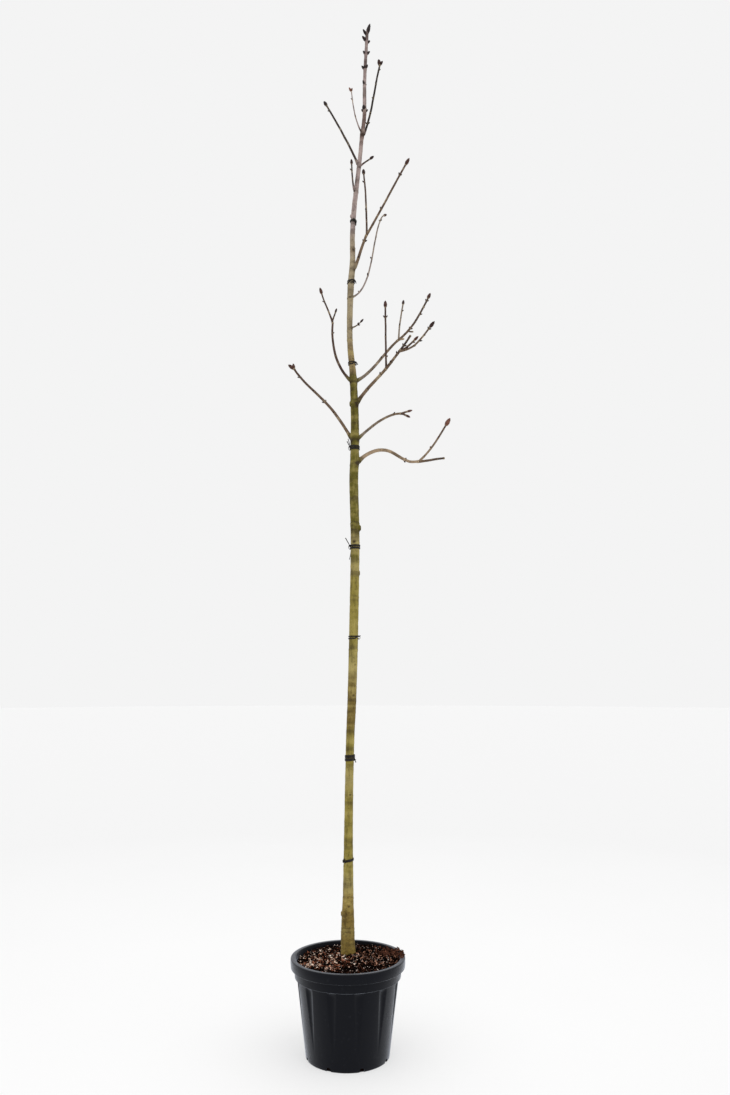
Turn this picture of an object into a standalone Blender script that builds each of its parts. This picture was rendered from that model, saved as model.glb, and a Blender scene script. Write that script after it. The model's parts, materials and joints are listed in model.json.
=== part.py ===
"""Leafless young broadleaf tree, growing in a round nursery pot.

Units are metres, with +Z up.  The origin is the centre of the pot's flat underside.
Headings are degrees anticlockwise from +X, seen from above.  Slopes are degrees above
level.  Heights are measured from the pot's underside.
"""

from collections import namedtuple
from math import cos, pi, radians, sin

import bmesh
import bpy
from mathutils import Vector

GAP = 0.0003                # clearance between two solids that touch
WELD = 0.00001

# ---- Pot: a tapering wall, a collar and a rolled lip --------------------------------
POT_HEIGHT = 0.325
POT_FLOOR = 0.004
BASE_RADIUS = 0.1455        # outside, just above the bottom edge
BASE_EDGE = 0.004
WALL_TOP = 0.258            # where the wall meets the collar
WALL_TOP_RADIUS = 0.1785
WALL_THICKNESS = 0.008
COLLAR_RADIUS = 0.1865
COLLAR_TOP = 0.290
LIP_RADIUS = 0.202
LIP_EDGE_RADIUS = 0.2005
MOUTH_RADIUS = 0.1845
POT_SEGMENTS = 48

FLUTE_COUNT = 12
FLUTE_TURN = 13.0           # heading of the first flute
FLUTE_TOP = 0.250
FLUTE_FOOT = 0.045
FLUTE_TOP_RADIUS = 0.030
FLUTE_FOOT_RADIUS = 0.006
FLUTE_DEPTH = 0.006

NOTCH_COUNT = 8
NOTCH_TURN = 20.0
NOTCH_RADIUS = 0.009
NOTCH_DEPTH = 0.006

# ---- Potting mix, the root ball: a low mound with a flat middle ---------------------
MIX_TOP = 0.320
MIX_FLAT_RADIUS = 0.088
MIX_EDGE_HEIGHT = 0.311
MIX_TILT = 0.005            # the mound is higher on its +X side and lower on the other

# ---- Trunk --------------------------------------------------------------------------
TRUNK_SET_BACK = 0.050      # the trunk stands this far behind the pot's middle
TRUNK_WANDER = 0.004        # it wanders this far forwards and backwards
TRUNK_WANDER_LENGTH = 1.7
TRUNK_RING_STEP = 0.055
TRUNK_FOOT = MIX_TOP + GAP
TRUNK_TOP = 3.985
TRUNK_COURSE = (            # height, lean along +X, thickness
    (TRUNK_FOOT, -0.002, 0.0520),
    (0.430, -0.002, 0.0460),
    (0.510, -0.001, 0.0390),
    (0.780, 0.000, 0.0318),
    (1.070, 0.005, 0.0310),
    (1.215, 0.011, 0.0330),
    (1.515, 0.018, 0.0342),
    (1.820, 0.022, 0.0340),
    (2.055, 0.0165, 0.0345),
    (2.150, 0.0195, 0.0340),
    (2.300, 0.020, 0.0318),
    (2.480, 0.0125, 0.0272),
    (2.620, 0.000, 0.0226),
    (2.790, 0.0005, 0.0240),
    (2.860, 0.0035, 0.0262),
    (2.960, 0.010, 0.0216),
    (3.060, 0.009, 0.0202),
    (3.180, 0.0155, 0.0204),
    (3.300, 0.028, 0.0185),
    (3.400, 0.0385, 0.0165),
    (3.500, 0.047, 0.0160),
    (3.590, 0.057, 0.0160),
    (3.760, 0.0585, 0.0142),
    (TRUNK_TOP, 0.069, 0.0130),
)

Stub = namedtuple("Stub", "height heading length thickness slope")
TRUNK_STUBS = (             # pruned knobs and scars on the trunk
    Stub(0.455, 180, 0.028, 0.012, 25),
    Stub(1.692, 0, 0.020, 0.012, 20),
    Stub(1.866, 350, 0.024, 0.015, 15),
    Stub(2.362, 185, 0.019, 0.012, 30),
)
Bud = namedtuple("Bud", "height heading length thickness slope")
LEADER_BUDS = (             # winter buds along the last year's leader
    Bud(3.612, 5, 0.021, 0.0085, 45),
    Bud(3.612, 185, 0.019, 0.0085, 45),
    Bud(3.735, 60, 0.022, 0.0080, 50),
    Bud(3.735, 240, 0.022, 0.0080, 50),
    Bud(3.808, 185, 0.021, 0.0085, 52),
    Bud(3.812, 350, 0.020, 0.0080, 60),
    Bud(3.878, 15, 0.024, 0.0085, 50),
    Bud(3.878, 195, 0.019, 0.0080, 55),
    Bud(3.932, 10, 0.019, 0.0085, 45),
    Bud(3.940, 190, 0.027, 0.0100, 52),
    Bud(3.968, 185, 0.030, 0.0090, 60),
    Bud(3.975, 0, 0.044, 0.0120, 76),
)

# ---- Boughs and twigs ---------------------------------------------------------------
# An arc is (reach, rise, slope at its end): reach is level, along the heading.
Bough = namedtuple("Bough", "name height heading slope root tip arcs bud")
BOUGHS = (
    Bough("bough_01_lowest_right", 2.132, 25, 48, 0.0155, 0.0105,
          ((0.116, 0.058, 0), (0.102, -0.034, -12), (0.045, 0.003, 8)), 0.0),
    Bough("bough_02_curved_right", 2.223, -20, 38, 0.0110, 0.0085,
          ((0.172, 0.080, -5),), 0.0),
    Bough("bough_03_low_left", 2.227, 160, 60, 0.0125, 0.0085,
          ((0.134, 0.182, 45), (0.114, 0.130, 58)), 1.0),
    Bough("bough_04_main_right", 2.369, -25, 55, 0.0140, 0.0110,
          ((0.120, 0.116, 45),), 0.0),
    Bough("bough_05_upper_right", 2.459, 20, 32, 0.0125, 0.0095,
          ((0.175, 0.190, 45),), 0.0),
    Bough("bough_06_forked_left", 2.459, 200, 38, 0.0110, 0.0080,
          ((0.073, 0.226, 95),), 0.0),
    Bough("bough_07_small_spur", 2.675, -30, 8, 0.0050, 0.0040,
          ((0.040, 0.016, 42),), 0.6),
    Bough("bough_08_slender_right", 2.810, 50, 30, 0.0070, 0.0055,
          ((0.118, 0.190, 75), (0.062, 0.216, 66), (0.026, 0.034, 32)), 0.8),
    Bough("bough_09_long_right", 2.929, -30, 58, 0.0130, 0.0100,
          ((0.054, 0.122, 60),), 0.0),
    Bough("bough_10_short_left", 3.264, 205, 78, 0.0070, 0.0060,
          ((0.011, 0.111, 87),), 0.8),
    Bough("bough_11_short_right", 3.366, -50, 12, 0.0065, 0.0060,
          ((0.064, 0.002, 5),), 0.8),
    Bough("bough_12_long_left", 3.383, 150, 68, 0.0095, 0.0075,
          ((0.154, 0.317, 62),), 1.0),
    Bough("bough_13_top_left", 3.524, 215, 52, 0.0055, 0.0045,
          ((0.048, 0.159, 80),), 0.6),
    Bough("bough_14_top_right", 3.516, 30, 70, 0.0090, 0.0075,
          ((0.077, 0.343, 77),), 1.0),
)

# The first twig of a mass carries on from the bough's tip.  Each other twig leaves an
# earlier one, counted from 0, at a fraction of that twig's length.
Twig = namedtuple("Twig", "leaves at heading slope root tip arcs bud")
TWIG_MASSES = {
    "bough_01_lowest_right": (
        Twig(None, 0, 25, 8, 0.0105, 0.0085, ((0.121, 0.027, 10),), 0.0),
        Twig(0, 0.03, 10, 42, 0.0090, 0.0075, ((0.116, 0.158, 60),), 1.3),
    ),
    "bough_02_curved_right": (
        Twig(None, 0, -20, -5, 0.0080, 0.0070, ((0.022, -0.010, -25),), 0.7),
        Twig(0, 0.10, -20, 20, 0.0075, 0.0065, ((0.026, 0.006, 10),), 0.7),
    ),
    "bough_04_main_right": (
        Twig(None, 0, -25, 45, 0.0110, 0.0095, ((0.062, 0.067, 50),), 0.0),
        Twig(0, 0.03, 100, 86, 0.0080, 0.0070, ((0.012, 0.258, 88),), 1.0),
        Twig(0, 0.98, 10, 52, 0.0085, 0.0080, ((0.041, 0.062, 58),), 0.0),
        Twig(0, 0.95, -20, 12, 0.0080, 0.0070, ((0.060, 0.036, 40),), 0.8),
        Twig(0, 0.92, -42, -2, 0.0080, 0.0065, ((0.080, 0.008, 25), (0.072, 0.050, 38)), 1.0),
    ),
    "bough_05_upper_right": (
        Twig(None, 0, 20, 40, 0.0095, 0.0075, ((0.138, 0.204, 64),), 1.0),
        Twig(0, 0.03, 60, 88, 0.0070, 0.0060, ((0.040, 0.168, 74),), 0.8),
        Twig(0, 0.03, 0, 5, 0.0065, 0.0060, ((0.020, 0.004, 15),), 0.0),
        Twig(0, 0.27, 0, -15, 0.0060, 0.0055, ((0.020, -0.003, 5),), 0.0),
    ),
    "bough_06_forked_left": (
        Twig(None, 0, 210, 72, 0.0075, 0.0060, ((0.050, 0.112, 72),), 0.9),
        Twig(0, 0.05, -40, 65, 0.0065, 0.0055, ((0.017, 0.034, 65),), 0.6),
    ),
    "bough_09_long_right": (
        Twig(None, 0, -30, 52, 0.0095, 0.0075, ((0.180, 0.252, 54),), 1.0),
        Twig(0, 0.01, 106, 88, 0.0080, 0.0065, ((0.044, 0.290, 72),), 1.0),
    ),
}
ARC_STEPS = 6
CAP_STRAIGHT = 0.002        # a cut end runs straight for this long, so the cut is square
ROOT_SWELL = 1.35           # a bough's collar, against its thickness just beyond
ROOT_SWELL_LENGTH = 0.030
BUD_LENGTH = 0.022          # of a bud of size 1
BUD_THICKNESS = 0.0105
BUD_SHAPE = (               # share of the bud's length, and of its thickness
    (0.10, 0.80),
    (0.38, 1.00),
    (0.72, 0.72),
    (1.00, 0.10),
)

# ---- Soft black tree ties round the trunk -------------------------------------------
TIE_HEIGHTS = (0.640, 1.004, 1.447, 1.792, 2.184, 2.528, 2.868, 3.128)
TIE_BAND_RADIUS = 0.0022
TIE_STRETCH = 2.4           # how much taller than thick a band is
TIE_SEGMENTS = 20

PLASTIC = (0.018, 0.019, 0.021, 1.0)
TIE_PLASTIC = (0.012, 0.012, 0.013, 1.0)
MIX = (0.075, 0.035, 0.022, 1.0)
BARK = (0.190, 0.170, 0.075, 1.0)
SHOOT_BARK = (0.200, 0.140, 0.105, 1.0)


# ---- Helpers ------------------------------------------------------------------------
def clear_scene():
    for old in list(bpy.data.objects):
        bpy.data.objects.remove(old, do_unlink=True)


def new_collection(name):
    collection = bpy.data.collections.new(name)
    bpy.context.scene.collection.children.link(collection)
    return collection


def paint(solid, colour, roughness):
    material = bpy.data.materials.new(solid.name)
    material.use_nodes = True
    shader = material.node_tree.nodes["Principled BSDF"]
    shader.inputs["Base Color"].default_value = colour
    shader.inputs["Roughness"].default_value = roughness
    solid.data.materials.clear()
    solid.data.materials.append(material)


def smooth(solid, angle=40):
    solid.data.shade_smooth()
    solid.data.set_sharp_from_angle(angle=radians(angle))


def weld(mesh):
    shape = bmesh.new()
    shape.from_mesh(mesh)
    bmesh.ops.remove_doubles(shape, verts=shape.verts, dist=WELD)
    bmesh.ops.recalc_face_normals(shape, faces=shape.faces)
    shape.to_mesh(mesh)
    shape.free()


def evaluated_mesh(thing):
    bpy.context.view_layer.update()
    graph = bpy.context.evaluated_depsgraph_get()
    return bpy.data.meshes.new_from_object(thing.evaluated_get(graph))


def apply_modifiers(solid):
    mesh = evaluated_mesh(solid)
    solid.modifiers.clear()
    solid.data = mesh


def boolean(solid, operand, operation):
    modifier = solid.modifiers.new(operation.lower(), "BOOLEAN")
    modifier.operation = operation
    modifier.solver = "EXACT"
    modifier.operand_type = "COLLECTION"
    modifier.collection = operand


def fuse(solid, others):
    """Join loose solids to one by a single union, and remove them."""
    loose = new_collection("loose")
    for other in others:
        loose.objects.link(other)
    boolean(solid, loose, "UNION")
    apply_modifiers(solid)
    for other in others:
        bpy.data.objects.remove(other, do_unlink=True)
    bpy.data.collections.remove(loose)


def tube(name, path, thickness, collection, resolution=2):
    """A closed, tapering round limb along a path, as a mesh."""
    data = bpy.data.curves.new(name, "CURVE")
    data.dimensions = "3D"
    data.bevel_depth = 1.0
    data.bevel_resolution = resolution
    data.use_fill_caps = True
    spline = data.splines.new("POLY")
    spline.points.add(len(path) - 1)
    for point, place, width in zip(spline.points, path, thickness):
        point.co = (*place, 1.0)
        point.radius = width / 2
    curve = bpy.data.objects.new(name, data)
    collection.objects.link(curve)
    mesh = evaluated_mesh(curve)
    weld(mesh)
    solid = bpy.data.objects.new(name, mesh)
    solid.matrix_world = curve.matrix_world
    bpy.data.objects.remove(curve, do_unlink=True)
    solid.name = name
    collection.objects.link(solid)
    return solid


def turned(name, profile, collection):
    """A solid of revolution about Z, from a profile that starts and ends on the axis."""
    mesh = bpy.data.meshes.new(name)
    edges = [(i, i + 1) for i in range(len(profile) - 1)]
    mesh.from_pydata([(radius, 0.0, height) for radius, height in profile], edges, [])
    solid = bpy.data.objects.new(name, mesh)
    collection.objects.link(solid)
    screw = solid.modifiers.new("screw", "SCREW")
    screw.steps = POT_SEGMENTS
    screw.render_steps = POT_SEGMENTS
    screw.use_merge_vertices = True
    screw.merge_threshold = WELD
    return solid


# ---- Pot and root ball --------------------------------------------------------------
def wall_radius(height):
    """Outside radius of the pot's wall."""
    return BASE_RADIUS + (WALL_TOP_RADIUS - BASE_RADIUS) * height / WALL_TOP


def pocket_radius(height):
    """Inside radius of the pot, which opens out above the wall."""
    top_of_wall = WALL_TOP_RADIUS - WALL_THICKNESS
    if height <= WALL_TOP:
        return wall_radius(height) - WALL_THICKNESS
    share = (height - WALL_TOP) / (POT_HEIGHT - WALL_TOP)
    return top_of_wall + (MOUTH_RADIUS - top_of_wall) * share


def build_pot(parts, cutters):
    profile = (
        (0.0, POT_FLOOR),
        (pocket_radius(POT_FLOOR), POT_FLOOR),
        (pocket_radius(WALL_TOP), WALL_TOP),
        (pocket_radius(POT_HEIGHT - 0.004), POT_HEIGHT - 0.004),
        (MOUTH_RADIUS + 0.003, POT_HEIGHT),
        (LIP_RADIUS - 0.004, POT_HEIGHT),
        (LIP_RADIUS, POT_HEIGHT - 0.005),
        (LIP_RADIUS, POT_HEIGHT - 0.018),
        (LIP_EDGE_RADIUS, COLLAR_TOP + 0.002),
        (COLLAR_RADIUS + 0.002, COLLAR_TOP),
        (COLLAR_RADIUS, WALL_TOP + 0.003),
        (WALL_TOP_RADIUS, WALL_TOP),
        (wall_radius(BASE_EDGE), BASE_EDGE),
        (BASE_RADIUS - BASE_EDGE, 0.0),
        (0.0, 0.0),
    )
    pot = turned("pot", profile, parts)
    boolean(pot, build_flute_cutters(cutters), "DIFFERENCE")
    boolean(pot, build_notch_cutters(cutters), "DIFFERENCE")
    apply_modifiers(pot)
    smooth(pot)
    paint(pot, PLASTIC, 0.42)


def build_flute_cutters(cutters):
    """Cones that lean with the wall: deep under the collar, and shallow at the foot."""
    group = bpy.data.collections.new("flutes")
    cutters.children.link(group)
    for index in range(FLUTE_COUNT):
        heading = radians(FLUTE_TURN + 360 * index / FLUTE_COUNT)
        outward = Vector((cos(heading), sin(heading), 0))
        foot_radius = wall_radius(FLUTE_FOOT) + FLUTE_FOOT_RADIUS
        top_radius = wall_radius(FLUTE_TOP) + FLUTE_TOP_RADIUS - FLUTE_DEPTH
        foot = outward * foot_radius + Vector((0, 0, FLUTE_FOOT))
        top = outward * top_radius + Vector((0, 0, FLUTE_TOP))
        bpy.ops.mesh.primitive_cone_add(
            vertices=16,
            radius1=FLUTE_FOOT_RADIUS,
            radius2=FLUTE_TOP_RADIUS,
            depth=(top - foot).length,
            location=(foot + top) / 2,
            rotation=(top - foot).to_track_quat("Z", "Y").to_euler(),
        )
        claim_cutter(bpy.context.object, group, f"flute_{index}")
    return group


def build_notch_cutters(cutters):
    """Short round bars that bite drain notches out of the bottom edge."""
    group = bpy.data.collections.new("drain_notches")
    cutters.children.link(group)
    for index in range(NOTCH_COUNT):
        heading = radians(NOTCH_TURN + 360 * index / NOTCH_COUNT)
        outward = Vector((cos(heading), sin(heading), 0))
        inner = BASE_RADIUS - NOTCH_DEPTH
        length = 3 * NOTCH_DEPTH
        bpy.ops.mesh.primitive_cylinder_add(
            vertices=16,
            radius=NOTCH_RADIUS,
            depth=length,
            location=outward * (inner + length / 2) + Vector((0, 0, BASE_EDGE)),
            rotation=outward.to_track_quat("Z", "Y").to_euler(),
        )
        claim_cutter(bpy.context.object, group, f"drain_notch_{index}")
    return group


def claim_cutter(cutter, group, name):
    for owner in list(cutter.users_collection):
        owner.objects.unlink(cutter)
    group.objects.link(cutter)
    cutter.name = name
    cutter.hide_render = True
    cutter.display_type = "WIRE"


def build_potting_mix(parts):
    edge = pocket_radius(MIX_EDGE_HEIGHT) - 2 * GAP
    profile = (
        (0.0, MIX_TOP),
        (MIX_FLAT_RADIUS, MIX_TOP),
        (0.130, 0.318),
        (0.160, 0.315),
        (edge, MIX_EDGE_HEIGHT),
        (pocket_radius(WALL_TOP) - 2 * GAP, WALL_TOP),
        (pocket_radius(POT_FLOOR) - 2 * GAP, POT_FLOOR + GAP),
        (0.0, POT_FLOOR + GAP),
    )
    mix = turned("potting_mix", profile, parts)
    apply_modifiers(mix)
    for vertex in mix.data.vertices:
        reach = vertex.co.xy.length
        if reach > MIX_FLAT_RADIUS + WELD and vertex.co.z > WALL_TOP + WELD:
            share = (reach - MIX_FLAT_RADIUS) / (edge - MIX_FLAT_RADIUS)
            vertex.co.z += MIX_TILT * share * vertex.co.x / reach
            if reach > edge - WELD:
                vertex.co.xy *= (pocket_radius(vertex.co.z) - 2 * GAP) / reach
    weld(mix.data)
    smooth(mix)
    paint(mix, MIX, 0.95)


# ---- Trunk --------------------------------------------------------------------------
def trunk_at(height):
    """Middle and thickness of the trunk at a height, on a smooth course."""
    rows = TRUNK_COURSE
    last = len(rows) - 2
    index = max(i for i in range(last + 1) if i == 0 or rows[i][0] <= height)
    before, start, end, after = (
        rows[max(index - 1, 0)],
        rows[index],
        rows[index + 1],
        rows[min(index + 2, last + 1)],
    )
    span = end[0] - start[0]
    share = (height - start[0]) / span
    lean, thickness = (
        ease(share, start[k], end[k],
             span * slope(before, end, k), span * slope(start, after, k))
        for k in (1, 2)
    )
    wander = TRUNK_WANDER * sin(2 * pi * (height - TRUNK_FOOT) / TRUNK_WANDER_LENGTH)
    return Vector((lean, TRUNK_SET_BACK + wander, height)), thickness


def slope(low, high, column):
    return (high[column] - low[column]) / (high[0] - low[0])


def ease(share, start, end, start_pull, end_pull):
    """Cubic from start to end, with a pull at each end: numbers or vectors."""
    square = share * share
    cube = square * share
    return (
        start * (2 * cube - 3 * square + 1)
        + start_pull * (cube - 2 * square + share)
        + end * (3 * square - 2 * cube)
        + end_pull * (cube - square)
    )


def trunk_rings(swell):
    count = round((TRUNK_TOP - TRUNK_FOOT) / TRUNK_RING_STEP)
    heights = [TRUNK_FOOT + (TRUNK_TOP - TRUNK_FOOT) * i / count for i in range(count + 1)]
    rings = [trunk_at(height) for height in heights]
    path = [middle for middle, _ in rings]
    thickness = [width + 2 * swell for _, width in rings]
    path.insert(1, path[0] + Vector((0, 0, CAP_STRAIGHT)))
    thickness.insert(1, thickness[0])
    return path, thickness


def build_trunk(parts):
    path, thickness = trunk_rings(0)
    trunk = tube("trunk", path, thickness, parts, resolution=5)
    extras = [build_stub(stub, parts) for stub in TRUNK_STUBS]
    extras += [build_side_bud(bud, parts) for bud in LEADER_BUDS]
    fuse(trunk, extras)
    smooth(trunk)
    paint(trunk, BARK, 0.8)


def pointing(heading, slope_angle):
    level = cos(radians(slope_angle))
    turn = radians(heading)
    return Vector((level * cos(turn), level * sin(turn), sin(radians(slope_angle))))


def build_stub(stub, parts):
    middle, _ = trunk_at(stub.height)
    way = pointing(stub.heading, stub.slope)
    shares = (0.0, 0.8, 1.0)
    path = [middle + way * stub.length * share for share in shares]
    return tube("stub", path, [stub.thickness * k for k in (1.5, 1.0, 0.75)], parts, 1)


def build_side_bud(bud, parts):
    """A bud that stands off the leader, from its own foot inside it."""
    middle, _ = trunk_at(bud.height)
    way = pointing(bud.heading, bud.slope)
    path = [middle]
    thickness = [bud.thickness * 0.8]
    for share, width in BUD_SHAPE[1:]:
        path.append(middle + way * bud.length * share)
        thickness.append(bud.thickness * width)
    return tube("bud", path, thickness, parts, 1)


# ---- Boughs and twigs ---------------------------------------------------------------
def add_bud(path, thickness, size):
    """Carries a limb on into its end bud."""
    way = (path[-1] - path[-2]).normalized()
    tip = path[-1]
    for share, width in BUD_SHAPE:
        path.append(tip + way * BUD_LENGTH * size * share)
        thickness.append(BUD_THICKNESS * size * width)


def arc_path(start, heading, slope_angle, arcs):
    """Points along a chain of arcs in one upright plane."""
    path = [start]
    for reach, rise, end_slope in arcs:
        first = path[-1]
        last = first + pointing(heading, 0) * reach + Vector((0, 0, rise))
        chord = (last - first).length
        start_pull = pointing(heading, slope_angle) * chord
        end_pull = pointing(heading, end_slope) * chord
        for step in range(1, ARC_STEPS + 1):
            path.append(ease(step / ARC_STEPS, first, last, start_pull, end_pull))
        slope_angle = end_slope
    return path


def tapered(path, root, tip):
    """Thickness at each point, falling evenly with the length."""
    lengths = [0.0]
    for here, there in zip(path, path[1:]):
        lengths.append(lengths[-1] + (there - here).length)
    return [root + (tip - root) * length / lengths[-1] for length in lengths], lengths


def build_bough(bough, parts, trunk_cutter):
    """A limb whose root is cut to the trunk's surface.  Returns its path and tip size."""
    middle, trunk_width = trunk_at(bough.height)
    start = middle + pointing(bough.heading, 0) * trunk_width / 2
    path = arc_path(start, bough.heading, bough.slope, bough.arcs)
    thickness, lengths = tapered(path, bough.root, bough.tip)
    for index, length in enumerate(lengths):
        swell = (ROOT_SWELL - 1) * max(0.0, 1 - length / ROOT_SWELL_LENGTH)
        thickness[index] *= 1 + swell
    path.insert(0, middle + (start - middle) * 0.15)
    thickness.insert(0, thickness[0])
    open_end = list(path)
    if bough.bud:
        add_bud(path, thickness, bough.bud)
    solid = tube(bough.name, path, thickness, parts)
    boolean(solid, trunk_cutter, "DIFFERENCE")
    apply_modifiers(solid)
    smooth(solid)
    paint(solid, SHOOT_BARK, 0.75)
    return open_end


def build_twig_mass(bough, end_of_bough, parts):
    """Twigs that fork from a bough's tip, fused into one solid."""
    way = (end_of_bough[-1] - end_of_bough[-2]).normalized()
    start = end_of_bough[-1] + way * GAP
    paths = []
    solids = []
    for index, twig in enumerate(TWIG_MASSES[bough.name]):
        if twig.leaves is not None:
            start = along(paths[twig.leaves], twig.at)
        path = arc_path(start, twig.heading, twig.slope, twig.arcs)
        thickness, _ = tapered(path, twig.root, twig.tip)
        paths.append(list(path))
        if index == 0:
            path.insert(1, start + way * CAP_STRAIGHT)
            thickness.insert(1, twig.root)
        if twig.bud:
            add_bud(path, thickness, twig.bud)
        solids.append(tube(f"twig_{index}", path, thickness, parts))
    mass = solids[0]
    fuse(mass, solids[1:])
    mass.name = bough.name.replace("bough", "twigs")
    smooth(mass)
    paint(mass, SHOOT_BARK, 0.75)


def along(path, share):
    """The point at a share of a path's length."""
    _, lengths = tapered(path, 0, 0)
    target = share * lengths[-1]
    for index in range(1, len(path)):
        if lengths[index] >= target:
            span = lengths[index] - lengths[index - 1]
            part = (target - lengths[index - 1]) / span
            return path[index - 1].lerp(path[index], part)
    return path[-1]


# ---- Ties ---------------------------------------------------------------------------
def build_ties(parts):
    for index, height in enumerate(TIE_HEIGHTS, 1):
        middle, width = trunk_at(height)
        inner = (width / 2 + 2 * GAP) / cos(pi / TIE_SEGMENTS)
        bpy.ops.mesh.primitive_torus_add(
            major_segments=TIE_SEGMENTS,
            minor_segments=6,
            major_radius=inner + TIE_BAND_RADIUS,
            minor_radius=TIE_BAND_RADIUS,
        )
        tie = bpy.context.object
        for owner in list(tie.users_collection):
            owner.objects.unlink(tie)
        parts.objects.link(tie)
        tie.name = f"tie_{index}"
        for vertex in tie.data.vertices:
            vertex.co.z *= TIE_STRETCH
        tie.location = middle
        smooth(tie, 60)
        paint(tie, TIE_PLASTIC, 0.6)


def main():
    clear_scene()
    parts = new_collection("potted_sapling")
    cutters = new_collection("cutters")
    build_pot(parts, cutters)
    build_potting_mix(parts)
    build_trunk(parts)
    trunk_space = bpy.data.collections.new("trunk_space")
    cutters.children.link(trunk_space)
    path, thickness = trunk_rings(GAP * 1.1)
    claim_cutter(tube("trunk_space", path, thickness, parts, resolution=5), trunk_space,
                 "trunk_space")
    for bough in BOUGHS:
        end_of_bough = build_bough(bough, parts, trunk_space)
        if bough.name in TWIG_MASSES:
            build_twig_mass(bough, end_of_bough, parts)
    build_ties(parts)


main()
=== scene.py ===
"""Leafless young broadleaf tree, rooted in a round black nursery pot.

Units are metres, with +Z up.  The origin is the centre of the pot's underside.
Headings are degrees anticlockwise from +X, seen from above.  Slopes are degrees above
level.  Heights are measured from the pot's underside.
"""

import json
from collections import namedtuple
from math import ceil, cos, exp, hypot, pi, radians, sin, sqrt
from random import Random

import bmesh
import bpy
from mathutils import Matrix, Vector, noise

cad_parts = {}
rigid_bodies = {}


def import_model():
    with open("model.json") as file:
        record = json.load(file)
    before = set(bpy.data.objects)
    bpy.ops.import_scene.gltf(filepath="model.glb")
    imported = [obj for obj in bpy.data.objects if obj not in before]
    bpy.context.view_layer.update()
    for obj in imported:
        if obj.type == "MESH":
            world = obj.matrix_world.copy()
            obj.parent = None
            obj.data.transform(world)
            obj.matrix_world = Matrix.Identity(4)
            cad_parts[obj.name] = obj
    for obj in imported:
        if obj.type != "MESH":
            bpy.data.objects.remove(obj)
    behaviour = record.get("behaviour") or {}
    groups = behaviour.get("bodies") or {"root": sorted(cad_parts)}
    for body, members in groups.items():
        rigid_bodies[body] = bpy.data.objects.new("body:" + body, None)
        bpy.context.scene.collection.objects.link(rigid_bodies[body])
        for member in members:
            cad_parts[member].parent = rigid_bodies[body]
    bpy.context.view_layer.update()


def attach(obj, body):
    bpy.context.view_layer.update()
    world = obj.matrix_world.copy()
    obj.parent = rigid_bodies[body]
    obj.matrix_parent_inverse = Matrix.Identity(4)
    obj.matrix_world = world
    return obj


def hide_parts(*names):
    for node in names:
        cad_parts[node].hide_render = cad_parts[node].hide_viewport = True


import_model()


# ---- Pot ----------------------------------------------------------------------------
# A round nursery pot, moulded in one shot from black recycled plastic.  The thin wall
# tapers to the foot and is stiffened by tapering flutes, a collar and a rolled lip.
# Drain notches open the bottom corner.
POT_HEIGHT = 0.325
BASE_RADIUS = 0.1455
WALL_TOP = 0.258            # where the wall meets the collar
WALL_TOP_RADIUS = 0.1785
COLLAR_RADIUS = 0.1865
COLLAR_TOP = 0.290
LIP_RADIUS = 0.202
LIP_EDGE_RADIUS = 0.2005
MOUTH_RADIUS = 0.1845
INNER_COLLAR = 0.181        # inside radius of the collar
PLASTIC = 0.0025            # how thick the plastic is
FOOT_RING = 0.127           # the underside is hollowed a little inside this radius
FOOT_HOLLOW = 0.002
POT_SIDES = 360
WALL_ROWS = 26

FLUTE_COUNT = 12
FLUTE_TURN = 13.0           # heading of the first flute
FLUTE_TOP = 0.250
FLUTE_FOOT = 0.045
FLUTE_TOP_RADIUS = 0.030
FLUTE_FOOT_RADIUS = 0.006
FLUTE_DEPTH = 0.006
FLUTE_EDGE = 0.0007         # how softly a flute's edge is rounded
FLUTE_END = 0.008           # how far above its top a flute runs out

NOTCH_COUNT = 8
NOTCH_TURN = 20.0
NOTCH_RADIUS = 0.009
NOTCH_HEIGHT = 0.004
NOTCH_DEPTH = 0.006

BLACK = (9, 9, 13)
# grey of dust on the pot's upward faces, which also serves as a painted highlight there
DUST_AND_HIGHLIGHT_GREY = (58, 57, 60)
SCUFFED_BLACK = (38, 39, 43)
COOL_WHITE = (226, 234, 250)


def tint(chip):
    """A linear colour from a paint chip, whose parts run from 0 to 255."""
    parts = [part / 255 for part in chip]
    linear = [p / 12.92 if p <= 0.04045 else ((p + 0.055) / 1.055) ** 2.4 for p in parts]
    return (*linear, 1.0)


def feed(tree, node, inputs):
    """Gives a node's inputs plain values, or sockets to link from."""
    for name, value in inputs.items():
        if isinstance(value, bpy.types.NodeSocket):
            tree.links.new(value, node.inputs[name])
        else:
            node.inputs[name].default_value = value
    return node


def put(tree, kind, inputs=None, **settings):
    """Adds a node with its settings and inputs."""
    made = tree.nodes.new(kind)
    for name, value in settings.items():
        setattr(made, name, value)
    return feed(tree, made, inputs or {})


def new(tree, kind, inputs=None, **settings):
    """The first output of an added node."""
    return put(tree, kind, inputs, **settings).outputs[0]


def mixed(tree, share, first, second):
    """A colour between two others."""
    inputs = {0: share, 6: first, 7: second}
    return put(tree, "ShaderNodeMix", inputs, data_type="RGBA").outputs[2]


def ranged(tree, value, low, high, start=0.0, end=1.0):
    """A value's place between low and high, given out between start and end."""
    inputs = {"Value": value, "From Min": low, "From Max": high, "To Min": start, "To Max": end}
    return new(tree, "ShaderNodeMapRange", inputs)


def sum_of(tree, first, second, operation="ADD"):
    return new(tree, "ShaderNodeMath", {0: first, 1: second}, operation=operation)


def noise_of(tree, place, per_metre, detail):
    inputs = {"Vector": place, "Scale": per_metre, "Detail": detail}
    return new(tree, "ShaderNodeTexNoise", inputs)


def up_part(tree, vector):
    return put(tree, "ShaderNodeSeparateXYZ", {0: vector}).outputs["Z"]


MARKS = {"Patches": 5.0, "Specks": 2.0, "Grain": 3.0}  # each kind, and how detailed it is


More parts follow.
